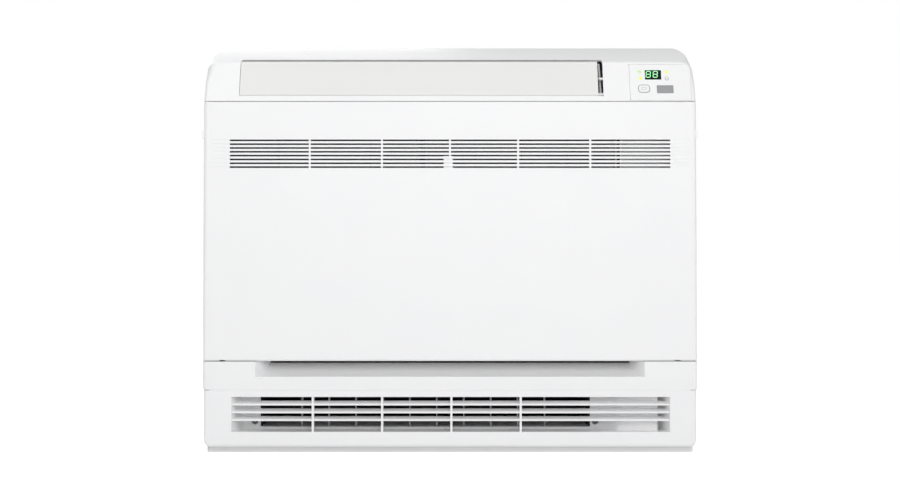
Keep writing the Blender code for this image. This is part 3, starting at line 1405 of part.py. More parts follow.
def make_motor(steel, dark):
    centre = (FAN_X, FAN_Z)
    bore = SHAFT_RADIUS + 0.5 * MM
    profile = [
        (bore, MOTOR_FRONT),
        (12 * MM, MOTOR_FRONT),
        (13 * MM, MOTOR_FRONT + 4 * MM),
        (MOTOR_RADIUS - 4 * MM, MOTOR_FRONT + 10 * MM),
        (MOTOR_RADIUS, MOTOR_FRONT + 14 * MM),
        (MOTOR_RADIUS, MOTOR_BACK - 3 * MM),
        (MOTOR_RADIUS - 3 * MM, MOTOR_BACK),
        (14 * MM, MOTOR_BACK),
        (14 * MM, MOTOR_FRONT + 20 * MM),
        (bore, MOTOR_FRONT + 15 * MM),
    ]
    turned("fan_motor", profile, centre, 28, dark)
    arm = 62 * MM
    start, stop = MOTOR_BACK + SEAT, CASING_BACK - SEAT
    mount = prism(
        "motor_mount",
        [arc(centre, MOTOR_RADIUS + 4 * MM, 0, 345, 23)],
        start,
        stop,
        "Y",
        steel,
    )
    arms = [
        (
            (FAN_X - arm, FAN_X + arm),
            (start + 0.5 * MM, stop - 0.02 * MM),
            (FAN_Z - 11 * MM, FAN_Z + 11 * MM),
        )
    ]
    posts = [
        (
            (FAN_X - 11 * MM, FAN_X + 11 * MM),
            (start + 0.6 * MM, stop - 0.04 * MM),
            (FAN_Z - arm, FAN_Z + arm),
        )
    ]
    join(mount, blocks("mount_arms", arms), blocks("mount_posts", posts))


# Lower duct, damper and fins


def duct_passage(extra):
    """Air passage of the lower duct, its open ends drawn out by extra."""
    bend = arc((CASING_BACK - DUCT_BEND, DUCT_LOW + DUCT_BEND), DUCT_BEND, 270, 360, 5)
    front = POCKET_DEPTH + WALL + SEAT + DUCT_WALL
    top = CASING_LOW - SEAT - DUCT_WALL
    return [
        (front - extra, DUCT_LOW),
        *bend,
        (CASING_BACK, top + extra),
        (CASING_DEPTH + 14 * MM, top + extra),
        (CASING_DEPTH + 14 * MM, top - 4 * MM),
        (DAMPER_DEPTH + 6 * MM, DUCT_ROOF),
        (front - extra, DUCT_ROOF),
    ]


WELL_REACH = SCREW_WELL + 2.2 * MM
DUCT_X = (SCREW_X[0] + WELL_REACH + DUCT_WALL, SCREW_X[1] - WELL_REACH - DUCT_WALL)


def fin_places(count, start, pitch):
    return [start + pitch * number for number in range(count)]


def make_lower_duct(white):
    left, right = DUCT_X
    duct = prism(
        "lower_duct",
        [grown(duct_passage(0.0), DUCT_WALL)],
        left - DUCT_WALL,
        right + DUCT_WALL,
        "X",
        white,
    )
    cut(duct, prism("duct_air", [duct_passage(2 * DUCT_WALL)], left, right, "X"))
    lugs, holes = [], []
    for x, side in zip(SCREW_X, (-1, 1)):
        near = left - DUCT_WALL + 1 * MM if side < 0 else right + DUCT_WALL - 1 * MM
        ends = sorted((near, x + side * 6 * MM))
        start = SCREW_SEAT + 2 * MM + SEAT
        lugs.append(
            (ends, (start, SCREW_SEAT + SCREW_LENGTH + 3 * MM), (SCREW_Z - 6 * MM, SCREW_Z + 6 * MM))
        )
        holes.append(((x, start - 2 * MM, SCREW_Z), (x, SCREW_SEAT + SCREW_LENGTH + 6 * MM, SCREW_Z)))
    join(duct, blocks("duct_lugs", lugs))
    cut(duct, rods("lug_holes", holes, SCREW_SHANK + 0.3 * MM, 12))
    lines = []
    for x in fin_places(LOWER_FINS, LOWER_FIN_START, LOWER_FIN_PITCH):
        lines.append(
            (
                (x, LOWER_FIN_DEPTH, DUCT_LOW - 2 * DUCT_WALL),
                (x, LOWER_FIN_DEPTH, DUCT_ROOF + 2 * DUCT_WALL),
            )
        )
    cut(duct, rods("duct_pivot_holes", lines, PIVOT_HOLE, 8))
    damper = [((left - 2 * DUCT_WALL, *DAMPER_AXIS), (right + 2 * DUCT_WALL, *DAMPER_AXIS))]
    cut(duct, rods("duct_damper_holes", damper, 3 * MM, 12))
    return duct


DAMPER_AXIS = (DAMPER_DEPTH, (DUCT_LOW + DUCT_ROOF) / 2)


def make_damper(grey):
    left, right = DUCT_X
    half = DAMPER_CHORD / 2
    depth, z = DAMPER_AXIS
    tip, thin, thick = 0.8 * DAMPER_WALL / 2, DAMPER_WALL / 2, 3.4 * MM
    upper = [(half, tip), (thick, thin), (0, thick), (-thick, thin), (-half, tip)]
    lower = [(-along, -up) for along, up in upper]
    outline = [(depth + along, z + up) for along, up in upper + lower]
    damper = prism("lower_damper", [outline], left + 1.5 * MM, right - 1.5 * MM, "X", grey)
    pins = [
        ((left - DUCT_WALL + 0.3 * MM, depth, z), (left + 4 * MM, depth, z)),
        ((right - 4 * MM, depth, z), (right + DUCT_WALL - 0.3 * MM, depth, z)),
    ]
    join(damper, rods("damper_pins", pins, 2.5 * MM, 10))
    return pivot_at(damper, 0, *DAMPER_AXIS)


def make_fin(name, x, depth, chord, low, high, foot, head, link_top, material):
    """An upright deflector fin with its pivot pin below and above, and its link pin at the rear."""
    fin = prism(
        name,
        [
            [
                (depth - chord[0], low),
                (depth + chord[1], low),
                (depth + chord[1], high),
                (depth - chord[0], high),
            ]
        ],
        x - FIN_WALL / 2,
        x + FIN_WALL / 2,
        "X",
        material,
    )
    work = bmesh.new()
    add_rod(work, (x, depth, foot), (x, depth, low + 3 * MM), PIVOT_PIN, 6)
    add_rod(work, (x, depth, high - 3 * MM), (x, depth, head), PIVOT_PIN, 6)
    add_rod(work, (x, depth + LINK_ARM, high - 3 * MM), (x, depth + LINK_ARM, link_top), LINK_PIN, 6)
    join(fin, from_bmesh(name + "_pins", work, None))
    return pivot_at(fin, x, depth, low)


def make_link(name, places, depth, low, material):
    """The bar that moves a row of fins together, with a hole for each link pin."""
    end = LINK_WIDTH
    row = depth + LINK_ARM
    outline = [
        (places[0] - end, row - LINK_WIDTH / 2),
        (places[-1] + end, row - LINK_WIDTH / 2),
        (places[-1] + end, row + LINK_WIDTH / 2),
        (places[0] - end, row + LINK_WIDTH / 2),
    ]
    holes = [arc((x, row), LINK_PIN + 0.4 * MM, 0, 315, 7) for x in places]
    bar = prism(name, [outline, *holes], low, low + LINK_HEIGHT, "Z", material)
    return pivot_at(bar, places[0], row, low)


def make_lower_fins(grey, dark):
    low, high = DUCT_LOW + 2.5 * MM, DUCT_ROOF - 6.5 * MM
    bar_low = high + RUN
    places = fin_places(LOWER_FINS, LOWER_FIN_START, LOWER_FIN_PITCH)
    for number, x in enumerate(places, 1):
        make_fin(
            f"lower_fin_{number:02d}",
            x,
            LOWER_FIN_DEPTH,
            LOWER_FIN_CHORD,
            low,
            high,
            DUCT_LOW - DUCT_WALL + SEAT,
            DUCT_ROOF + DUCT_WALL - SEAT,
            bar_low + LINK_HEIGHT,
            grey,
        )
    make_link("lower_fin_link", places, LOWER_FIN_DEPTH, bar_low, dark)


def upper_passage(extra):
    """Air passage of the upper duct, from the fan casing to the outlet opening."""
    low = CASING_HIGH + SEAT + DUCT_WALL
    lip_height = CAP_BOTTOM + DUCT_WALL + 2.5 * MM
    roof_depth = OPENING_REAR + 7 * MM
    roof = (roof_depth, top_height(roof_depth) - WALL - DUCT_WALL - 4.5 * MM)
    return [
        (CASING_BACK, low - extra),
        (CASING_BACK, low + 20 * MM),
        (CASING_BACK - 26 * MM, low + 50 * MM),
        (roof[0] + 6 * MM, roof[1]),
        (roof[0] - extra, roof[1]),
        (PANEL_RETURN - 6 * MM - extra, lip_height),
        (PANEL_RETURN + 4 * MM, lip_height - 1 * MM),
        (CASING_DEPTH + 4 * MM, low + 10 * MM),
        (CASING_DEPTH + 4 * MM, low - extra),
    ]


UPPER_X = (OPENING_LEFT + 4 * MM, OPENING_RIGHT - 4 * MM)
UPPER_BAR_LOW = UPPER_FIN_HIGH + RUN


def make_upper_duct(white):
    left, right = UPPER_X
    duct = prism(
        "upper_duct",
        [grown(upper_passage(0.0), DUCT_WALL)],
        left - DUCT_WALL,
        right + DUCT_WALL,
        "X",
        white,
    )
    cut(duct, prism("upper_air", [upper_passage(3 * DUCT_WALL)], left, right, "X"))
    rail_top = UPPER_BAR_LOW + LINK_HEIGHT + RUN
    half = 3.5 * MM
    lower = (
        (left - 1 * MM, right + 1 * MM),
        (UPPER_FIN_DEPTH - half, UPPER_FIN_DEPTH + half),
        (UPPER_FIN_LOW - 4.5 * MM, UPPER_FIN_LOW - RUN),
    )
    upper = (
        (left - 1 * MM, right + 1 * MM),
        (UPPER_FIN_DEPTH - half, UPPER_FIN_DEPTH + half),
        (rail_top, rail_top + 3 * MM),
    )
    join(duct, blocks("upper_rails", [lower, upper]))
    lines = []
    for x in fin_places(UPPER_FINS, UPPER_FIN_START, UPPER_FIN_PITCH):
        lines.append(
            ((x, UPPER_FIN_DEPTH, UPPER_FIN_LOW - 6 * MM), (x, UPPER_FIN_DEPTH, rail_top + 5 * MM))
        )
    cut(duct, rods("upper_pivot_holes", lines, PIVOT_HOLE, 8))
    return duct


def make_upper_fins(grey, dark):
    places = fin_places(UPPER_FINS, UPPER_FIN_START, UPPER_FIN_PITCH)
    rail_top = UPPER_BAR_LOW + LINK_HEIGHT + RUN
    for number, x in enumerate(places, 1):
        make_fin(
            f"upper_fin_{number:02d}",
            x,
            UPPER_FIN_DEPTH,
            UPPER_FIN_CHORD,
            UPPER_FIN_LOW,
            UPPER_FIN_HIGH,
            UPPER_FIN_LOW - 4 * MM,
            rail_top + 2.4 * MM,
            UPPER_BAR_LOW + LINK_HEIGHT,
            grey,
        )
    make_link("upper_fin_link", places, UPPER_FIN_DEPTH, UPPER_BAR_LOW, dark)


def make_stepper(name, x, depth, z, radius, length, steel):
    """A small round motor lying along X, with one fixing ear above it."""
    motor = rods(name, [((x, depth, z), (x + length, depth, z))], radius, 20, steel)
    ear = (
        (x + 0.02 * MM, x + 1.5 * MM),
        (depth - 3.5 * MM, depth + 3.5 * MM),
        (z + 1 * MM, z + radius + 6 * MM),
    )
    return join(motor, blocks(name + "_ear", [ear]))


# Control bay


def make_controls(steel, white, board, dark):
    wall = 1.2 * MM
    x = (BOX_LEFT, HALF - WALL - SEAM)
    outer = (x, (BOX_DEPTH[0] + 2 * MM, BOX_DEPTH[1]), BOX_HEIGHT)
    box = blocks("control_box", [outer], steel)
    hollow = (
        (x[0] + wall, x[1] - wall),
        (BOX_DEPTH[0] - 3 * MM, BOX_DEPTH[1] - wall),
        (BOX_HEIGHT[0] + wall, BOX_HEIGHT[1] - wall),
    )
    cut(box, blocks("box_hollow", [hollow]))
    cover_front = BOX_DEPTH[0]
    cover_x = (AIR_RIGHT + 6 * MM + RUN, x[1])
    blocks("control_cover", [(cover_x, (cover_front, cover_front + 2 * MM - SEAT), BOX_HEIGHT)], white)
    back = BOX_DEPTH[1] - wall
    feet_z = (BOX_HEIGHT[0] + 40 * MM, BOX_HEIGHT[1] - 30 * MM)
    circuit = blocks(
        "control_board",
        [((x[0] + 8 * MM, x[1] - 8 * MM), (back - 12 * MM, back - 10.4 * MM), feet_z)],
        board,
    )
    feet = []
    for foot_x in (x[0] + 14 * MM, x[1] - 14 * MM):
        for foot_z in (feet_z[0] + 8 * MM, feet_z[1] - 8 * MM):
            feet.append(((foot_x, back - 11 * MM, foot_z), (foot_x, back - SEAT, foot_z)))
    join(circuit, rods("board_feet", feet, 3 * MM, 8))
    parts = [
        (
            (x[0] + 20 * MM, x[0] + 48 * MM),
            (back - 40 * MM, back - 11.5 * MM),
            (feet_z[0] + 120 * MM, feet_z[0] + 150 * MM),
        ),
        (
            (x[0] + 54 * MM, x[0] + 68 * MM),
            (back - 34 * MM, back - 11.4 * MM),
            (feet_z[0] + 40 * MM, feet_z[0] + 90 * MM),
        ),
        (
            (x[0] + 18 * MM, x[0] + 40 * MM),
            (back - 28 * MM, back - 11.3 * MM),
            (feet_z[0] + 30 * MM, feet_z[0] + 52 * MM),
        ),
    ]
    join(circuit, blocks("board_components", parts))
    low = BOX_HEIGHT[0] + wall + SEAT
    block = blocks(
        "terminal_block",
        [((x[0] + 16 * MM, x[1] - 16 * MM), (back - 26 * MM, back - SEAT), (low, low + 22 * MM))],
        dark,
    )
    ways = 4
    step = (x[1] - x[0] - 40 * MM) / ways
    wells = [
        (
            (x[0] + 20 * MM + step * (k + 0.5), back - 30 * MM, low + 12 * MM),
            (x[0] + 20 * MM + step * (k + 0.5), back - 14 * MM, low + 12 * MM),
        )
        for k in range(ways)
    ]
    cut(block, rods("terminal_wells", wells, 4 * MM, 10))


def main():
    white = finish("moulded_white_abs", (0.82, 0.82, 0.81), 0.42)
    warm = finish("moulded_warm_white_abs", (0.72, 0.71, 0.69), 0.42)
    grey = finish("moulded_grey_abs", (0.55, 0.55, 0.54), 0.5)
    dark = finish("moulded_dark_polypropylene", (0.06, 0.06, 0.065), 0.55)
    black = finish("smoked_acrylic", (0.01, 0.01, 0.012), 0.12)
    lens = finish("frosted_acrylic", (0.5, 0.5, 0.5), 0.3)
    clear = finish("light_guide_acrylic", (0.5, 0.8, 0.45), 0.25)
    foam = finish("moulded_polystyrene_foam", (0.85, 0.85, 0.85), 0.9)
    steel = finish("galvanised_steel", (0.5, 0.51, 0.52), 0.4, 0.9)
    aluminium = finish("fin_aluminium", (0.62, 0.63, 0.64), 0.35, 1.0)
    copper = finish("drawn_copper", (0.72, 0.38, 0.24), 0.35, 1.0)
    board = finish("circuit_laminate", (0.03, 0.18, 0.07), 0.5)

    make_top_cap(white)
    make_upper_vane(warm)
    make_display(white, black, lens, clear, board)
    make_front_panel(white)
    make_cabinet_frame(white)
    make_lower_cover(white)
    make_cover_screws(steel)
    make_base_foot(grey)
    make_rear_base(white)
    make_wall_bracket(steel)

    middle = (AIR_LEFT + AIR_RIGHT) / 2
    make_filter("filter_left", AIR_LEFT, middle - FILTER_GAP / 2, dark)
    make_filter("filter_right", middle + FILTER_GAP / 2, AIR_RIGHT, dark)
    make_coil(aluminium, copper, steel)
    make_drain_pan(white)
    make_pipes(copper)

    make_fan_orifice(white)
    make_fan_casing(foam)
    make_turbo_fan(dark, steel)
    make_motor(steel, dark)

    make_lower_duct(white)
    make_damper(grey)
    make_lower_fins(warm, dark)
    make_upper_duct(white)
    make_upper_fins(warm, dark)
    offset = 10 * MM
    motor_x = OPENING_RIGHT + 3.5 * MM + SEAT
    depth, z = VANE_AXIS
    vane_motor = make_stepper("vane_motor", motor_x, depth + offset, z + 1 * MM, 8 * MM, 16 * MM, steel)
    gearbox = (
        (motor_x + 0.04 * MM, motor_x + 6 * MM),
        (depth + 0.4 * MM, depth + offset),
        (z - 3.5 * MM, z - 0.3 * MM),
    )
    join(vane_motor, blocks("vane_gearbox", [gearbox]))
    make_stepper("damper_motor", DUCT_X[1] + DUCT_WALL + SEAT, *DAMPER_AXIS, 10 * MM, 16 * MM, steel)
    make_controls(steel, white, board, dark)


clear_scene()
PARTS = collection(PARTS_NAME, hidden=False)
CUTTERS = collection("cutters", hidden=True)
main()
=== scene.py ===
"""Looks for the floor console air conditioner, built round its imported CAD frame.

Metres, +Z up, front facing -Y. A "depth" is measured back from the front plane.
"""

import json
import math

import bmesh
import bpy
from mathutils import Matrix, Vector


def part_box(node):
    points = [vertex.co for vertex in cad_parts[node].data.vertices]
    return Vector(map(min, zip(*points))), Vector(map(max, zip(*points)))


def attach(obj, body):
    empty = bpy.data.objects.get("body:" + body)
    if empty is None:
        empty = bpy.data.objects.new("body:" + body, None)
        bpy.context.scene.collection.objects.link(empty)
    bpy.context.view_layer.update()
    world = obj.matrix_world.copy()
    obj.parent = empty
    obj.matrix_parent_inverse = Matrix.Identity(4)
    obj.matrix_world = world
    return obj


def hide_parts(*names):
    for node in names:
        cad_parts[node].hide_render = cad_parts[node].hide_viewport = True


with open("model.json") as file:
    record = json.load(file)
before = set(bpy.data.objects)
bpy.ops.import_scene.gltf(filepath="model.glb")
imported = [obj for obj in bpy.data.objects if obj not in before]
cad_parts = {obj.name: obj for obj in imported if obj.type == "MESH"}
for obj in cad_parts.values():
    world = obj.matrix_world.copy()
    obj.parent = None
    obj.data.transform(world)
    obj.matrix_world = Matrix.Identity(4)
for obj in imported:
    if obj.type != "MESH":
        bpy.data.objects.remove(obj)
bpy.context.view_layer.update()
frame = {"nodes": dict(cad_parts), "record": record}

MM = 0.001
FRONT = -105 * MM
NODES = frame["nodes"]
BODY_OF = {
    node: body
    for body, members in frame["record"]["behaviour"]["bodies"].items()
    for node in members
}
SLOT_OF = {part["node"]: part["material_slot"] for part in frame["record"]["subparts"]}

# The leaning face that carries the display: x across, y into the face, z up the face
CAP_LEAN = math.radians(21)
CAP_FOOT = Vector((0, FRONT + 11.5 * MM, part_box("top_cap")[0].z))
FACE = Matrix.Translation(CAP_FOOT) @ Matrix.Rotation(-CAP_LEAN, 4, "X")

# Heights and depths of the cabinet that the pieces below need
DUCT_FLOOR = 33.5 * MM
RECESS_HALF = 256.5 * MM
SEAM_LOW = 88.8 * MM
SEAM_HIGH = 89.45 * MM
SEAM_HALF = 340 * MM
RAIL_DEPTH = 32.4 * MM
RAIL_LOW = 152 * MM
RAIL_HIGH = 468 * MM


# Colours and node trees


def linear(code):
    """A linear colour from an sRGB hex code."""
    channels = [int(code[k : k + 2], 16) / 255 for k in (1, 3, 5)]
    return [c / 12.92 if c <= 0.04045 else ((c + 0.055) / 1.055) ** 2.4 for c in channels] + [1.0]


def add_node(tree, kind, inputs=(), **settings):
    """A node with its settings; an input is given a value or the output that feeds it."""
    made = tree.nodes.new(kind)
    for name, value in settings.items():
        setattr(made, name, value)
    for key, value in dict(inputs).items():
        socket = made.inputs[key]
        if isinstance(value, bpy.types.NodeSocket):
            tree.links.new(value, socket)
        else:
            socket.default_value = value
    return made


def blended(tree, factor, first, second):
    """A colour between two, each a hex code or the output that feeds it."""
    ends = [linear(end) if isinstance(end, str) else end for end in (first, second)]
    inputs = {"Factor": factor, "A": ends[0], "B": ends[1]}
    return add_node(tree, "ShaderNodeMix", inputs, data_type="RGBA").outputs["Result"]


def noise(tree, place, size, detail=2.0):
    """Noise whose patches have a size in metres."""
    inputs = {"Vector": place, "Scale": 1 / size, "Detail": detail}
    return add_node(tree, "ShaderNodeTexNoise", inputs).outputs["Fac"]


def ranged(tree, value, low, high):
    """A value from 0 to 1, spread from low to high."""
    inputs = {"Value": value, "To Min": low, "To Max": high}
    return add_node(tree, "ShaderNodeMapRange", inputs).outputs["Result"]


def step_up(tree, value, start, end):
    """0 below start, 1 above end and a slope between."""
    inputs = {"Value": value, "From Min": start, "From Max": end}
    return add_node(tree, "ShaderNodeMapRange", inputs).outputs["Result"]


def relief(tree, height, depth, strength=1.0):
    """A bump of a depth in metres."""
    inputs = {"Height": height, "Distance": depth, "Strength": strength}
    return add_node(tree, "ShaderNodeBump", inputs).outputs["Normal"]


def new_finish(name, **shader_values):
    """An empty material with its shader and Object coordinates."""
    made = bpy.data.materials.new(name)
    made.use_nodes = True
    tree = made.node_tree
    tree.nodes.clear()
    inputs = {key.replace("_", " "): value for key, value in shader_values.items()}
    shader = add_node(tree, "ShaderNodeBsdfPrincipled", inputs)
    add_node(tree, "ShaderNodeOutputMaterial", {0: shader.outputs[0]})
    place = add_node(tree, "ShaderNodeTexCoord").outputs["Object"]
    return made, tree, shader, place


def feed(tree, shader, **sources):
    """Links outputs to the shader's inputs, which are named with _ for a space."""
    for name, source in sources.items():
        tree.links.new(source, shader.inputs[name.replace("_", " ")])


def moulded_plastic(name, shade, tint, roughness, grain, depth, ior=1.5):
    """A moulded plastic: slow colour drift, etched grain of a size in metres, uneven gloss."""
    made, tree, shader, place = new_finish(name, IOR=ior)
    drift = noise(tree, place, 90 * MM, 3.0)
    etched = noise(tree, place, grain)
    feed(
        tree,
        shader,
        Base_Color=blended(tree, drift, shade, tint),
        Roughness=ranged(tree, etched, roughness - 0.05, roughness + 0.05),
        Normal=relief(tree, etched, depth, 0.5),
    )
    return made


def flecked_metal(name, shade, tint, roughness, cell, stretch=(1, 1, 1)):
    """A bare metal in patches of uneven shade and gloss, wide as cell, drawn out by stretch."""
    made, tree, shader, place = new_finish(name, Metallic=1.0)
    drawn = add_node(tree, "ShaderNodeMapping", {"Vector": place, "Scale": stretch}).outputs[0]
    patches = add_node(tree, "ShaderNodeTexVoronoi", {"Vector": drawn, "Scale": 1 / cell})
    single = add_node(tree, "ShaderNodeSeparateColor", {"Color": patches.outputs["Color"]})
    feed(
        tree,
        shader,
        Base_Color=blended(tree, single.outputs[0], shade, tint),
        Roughness=ranged(tree, single.outputs[1], roughness - 0.08, roughness + 0.08),
    )
    return made


def dimpled(name, shade, tint, roughness, cell, height, ior=1.5, scatter=1.0, lean=0.0):
    """Small round cells that stand in or out by height; without scatter they lie in rows."""
    made, tree, shader, place = new_finish(name, IOR=ior, Roughness=roughness)
    turned = add_node(tree, "ShaderNodeMapping", {"Vector": place, "Rotation": (lean, 0, 0)})
    inputs = {"Vector": turned.outputs[0], "Scale": 1 / cell, "Randomness": scatter}
    cells = add_node(tree, "ShaderNodeTexVoronoi", inputs)
    edge = step_up(tree, cells.outputs["Distance"], 0.15, 0.75)
    feed(
        tree,
        shader,
        Base_Color=blended(tree, edge, shade, tint),
        Normal=relief(tree, edge, height),
    )
    return made


def smoked_acrylic():
    """Black-dyed PMMA, polished: nearly black, with a sharp reflection and a trace of dust."""
    made, tree, shader, place = new_finish("smoked_acrylic", IOR=1.49)
    dust = noise(tree, place, 0.8 * MM, 4.0)
    feed(
        tree,
        shader,
        Base_Color=blended(tree, dust, "#050607", "#0B0D0E"),
        Roughness=ranged(tree, dust, 0.06, 0.2),
    )
    return made


def frosted_light(name, shade, tint, strength):
    """A lit diffuser, a little uneven in shade, as frosted polycarbonate is."""
    values = {"IOR": 1.585, "Roughness": 0.35, "Emission_Strength": strength}
    made, tree, shader, place = new_finish(name, **values)
    colour = blended(tree, noise(tree, place, 0.7 * MM), shade, tint)
    feed(tree, shader, Base_Color=colour, Emission_Color=colour)
    return made


def circuit_laminate():
    """FR-4 with green solder mask: broad tracks show through it as lighter, raised bands."""
    made, tree, shader, place = new_finish("circuit_laminate", IOR=1.52, Roughness=0.3)
    upright = (math.radians(90), 0, 0)
    across = add_node(tree, "ShaderNodeMapping", {"Vector": place, "Rotation": upright}).outputs[0]
    tracks = add_node(
        tree,
        "ShaderNodeTexBrick",
        {
            "Vector": across,
            "Color1": linear("#1F5A38"),
            "Color2": linear("#246A41"),
            "Mortar": linear("#174A2D"),
            "Scale": 1.0,
            "Mortar Size": 0.3 * MM,
            "Brick Width": 9 * MM,
            "Row Height": 1.8 * MM,
        },
    )
    feed(
        tree,
        shader,
        Base_Color=tracks.outputs["Color"],
        Normal=relief(tree, tracks.outputs["Fac"], -0.05 * MM),
    )
    return made


def shade_lined_duct(floor):
    """Foam sheet on polystyrene: dark and pitted above the floor's height, a painted shade for the
    inside of the duct; pale and plain on the floor.
    """
    made, tree, shader, place = new_finish("polystyrene_with_painted_shade_lining", IOR=1.45, Roughness=0.75)
    height = add_node(tree, "ShaderNodeSeparateXYZ", {0: place}).outputs["Z"]
    above = step_up(tree, height, floor + 0.2 * MM, floor + 0.9 * MM)
    pits = noise(tree, place, 1.5 * MM)
    # Painted shade: the dark foam colour stands in for the shade inside the duct
    foam = blended(tree, pits, "#1B1C1E", "#2B2C2F")
    feed(
        tree,
        shader,
        Base_Color=blended(tree, above, "#E8E8E8", foam),
        Normal=relief(tree, pits, 0.1 * MM),
    )
    return made


def clear_guide():
    """Clear polycarbonate, moulded: see-through, with a gloss that varies in slow waves."""
    values = {"IOR": 1.585, "Transmission_Weight": 0.85}
    made, tree, shader, place = new_finish("clear_polycarbonate", **values)
    shader.inputs["Base Color"].default_value = linear("#F2F6F6")
    feed(tree, shader, Roughness=ranged(tree, noise(tree, place, 6 * MM), 0.05, 0.18))
    return made


# Finishes, each named for the real one

# High-gloss ABS is too shiny for this casing: its fine spark-etched mould gives a soft satin white
WHITE_ABS = moulded_plastic(
    "spark_etched_white_abs", "#F3F3F3", "#F0F0F1", 0.46, 0.5 * MM, 0.02 * MM, 1.53
)
# The vane is smoother white ABS, so its edge highlights are crisper; its darker, warmer white is
# painted shade for its leaning face
VANE_ABS_SHADED = moulded_plastic(
    "satin_white_abs_painted_shade", "#E8E8E6", "#E5E5E3", 0.38, 0.5 * MM, 0.012 * MM, 1.53
)
# Unpainted inner polystyrene: duller and greyer than the shell, as it never sees the light
INNER_PS = moulded_plastic(
    "inner_white_polystyrene", "#DFE0E0", "#D8D9DA", 0.55, 0.8 * MM, 0.03 * MM, 1.59
)
# Fins are moulded in pale grey; the grey is painted shade, so that they don't glare behind the
# slats
FIN_ABS_SHADE_GREY = moulded_plastic(
    "pale_grey_abs_fins_painted_shade", "#C9CACB", "#C1C2C4", 0.5, 0.6 * MM, 0.02 * MM, 1.53
)
# The foot is a coarse-grained grey-white polypropylene with a waxy sheen
FOOT_PP = moulded_plastic(
    "coarse_grey_white_polypropylene", "#EDEDED", "#E8E8E8", 0.58, 1.2 * MM, 0.06 * MM, 1.49
)
# Damper and links: glass-filled nylon, matt and slightly mottled where fibres reach the skin
DAMPER_PA = moulded_plastic(
    "grey_glass_filled_nylon", "#77797C", "#6C6E71", 0.62, 1.0 * MM, 0.05 * MM, 1.53
)
LINK_PA = moulded_plastic(
    "dark_glass_filled_nylon", "#3A3C3E", "#2F3133", 0.6, 1.0 * MM, 0.05 * MM, 1.53
)
# Filter frames and their woven net are dark grey polypropylene, waxy and smooth
FILTER_PP = moulded_plastic(
    "dark_grey_polypropylene", "#46494C", "#3D4043", 0.48, 0.9 * MM, 0.02 * MM, 1.49
)
# The turbo fan is glass-filled styrene-acrylonitrile: charcoal with a dull gloss
FAN_SAN = moulded_plastic(
    "charcoal_filled_san", "#3C3E41", "#323437", 0.45, 1.0 * MM, 0.03 * MM, 1.57
)
# Terminal blocks are black phenolic, hard and even
TERMINAL_PF = moulded_plastic(
    "black_phenolic", "#232425", "#1B1C1D", 0.4, 0.6 * MM, 0.01 * MM, 1.6
)
# The motor can is stoved enamel over steel: dark, with the orange-peel of sprayed paint
MOTOR_PAINT = moulded_plastic(
    "stoved_black_enamel", "#2E3033", "#26282A", 0.34, 2.4 * MM, 0.05 * MM, 1.52
)
# Galvanised sheet: overlapping zinc crystals, about 7 mm wide, each a different grey
ZINC_STEEL = flecked_metal("galvanised_steel", "#A9ADB0", "#8D9195", 0.42, 7 * MM)
# Screws are dark passivated steel, brushed round by the driver
SCREW_STEEL = flecked_metal("dark_passivated_steel", "#6D7073", "#57595C", 0.4, 1.5 * MM)
# Rolled fin stock: fine streaks along the roll, here drawn 1 mm wide to show at all
FIN_ALUMINIUM = flecked_metal(
    "rolled_fin_aluminium", "#C9CCCF", "#B4B8BB", 0.34, 4 * MM, (4, 4, 0.6)
)
# Copper tube, drawn and a little browned by brazing
PIPE_COPPER = flecked_metal("drawn_copper_tube", "#C4784F", "#A85F3D", 0.32, 6 * MM, (0.5, 0.5, 1))
# Expanded polystyrene: 4 mm beads pressed together, with a fine dark line between them
BEAD_FOAM = dimpled("expanded_polystyrene", "#F0F0EC", "#D9D9D4", 0.85, 4 * MM, -0.4 * MM, 1.1)
# The receiver's lens is grey polycarbonate with a pattern of small dots in the mould
RECEIVER_PC = dimpled(
    "dotted_grey_polycarbonate",
    "#87878A",
    "#A3A3A5",
    0.42,
    1.2 * MM,
    0.08 * MM,
    ior=1.585,
    scatter=0.0,
    lean=CAP_LEAN,
)
WINDOW_PMMA = smoked_acrylic()
LAMINATE = circuit_laminate()
GUIDE_PC = clear_guide()
# The duct's walls and roof are charcoal foam whose dark is painted shade for the inside of the
# duct; its floor is bare pale polystyrene
DUCT_SHADE_LINING = shade_lined_duct(DUCT_FLOOR)
# Seals are cut from black closed-cell foam: matt, with pores half a millimetre wide; their black is
# painted shade in the gaps and slots they close
BLACK_FOAM_PAINTED_SHADE = dimpled("black_foam_painted_shade", "#191A1B", "#0D0E0E", 0.9, 0.8 * MM, -0.2 * MM, 1.3)
# Light through mint-green diffusers and small domed lenses
DIGIT_LIGHT = frosted_light("mint_green_diffuser", "#9BE3A6", "#7FD494", 0.75)
GREEN_LIGHT = frosted_light("soft_green_lens", "#BBDC98", "#AED38C", 0.36)
YELLOW_LIGHT = frosted_light("yellow_lens", "#DDEC66", "#D2E65A", 0.42)
# A clear acrylic rim that the digits light up a little
HALO_PMMA = frosted_light("edge_lit_acrylic", "#E6EEE6", "#DCE8DE", 0.18)
# The mark on the button is printed paler than those on the plate
PALE_INK = moulded_plastic("pale_grey_ink", "#C6C6C6", "#BEBEBE", 0.6, 0.3 * MM, 0.004 * MM, 1.5)
# Pad-printed marks: thin flat grey ink, a touch uneven where the pad lifts
GREY_INK = moulded_plastic("flat_grey_ink", "#9C9C9C", "#8C8C8C", 0.6, 0.3 * MM, 0.004 * MM, 1.5)

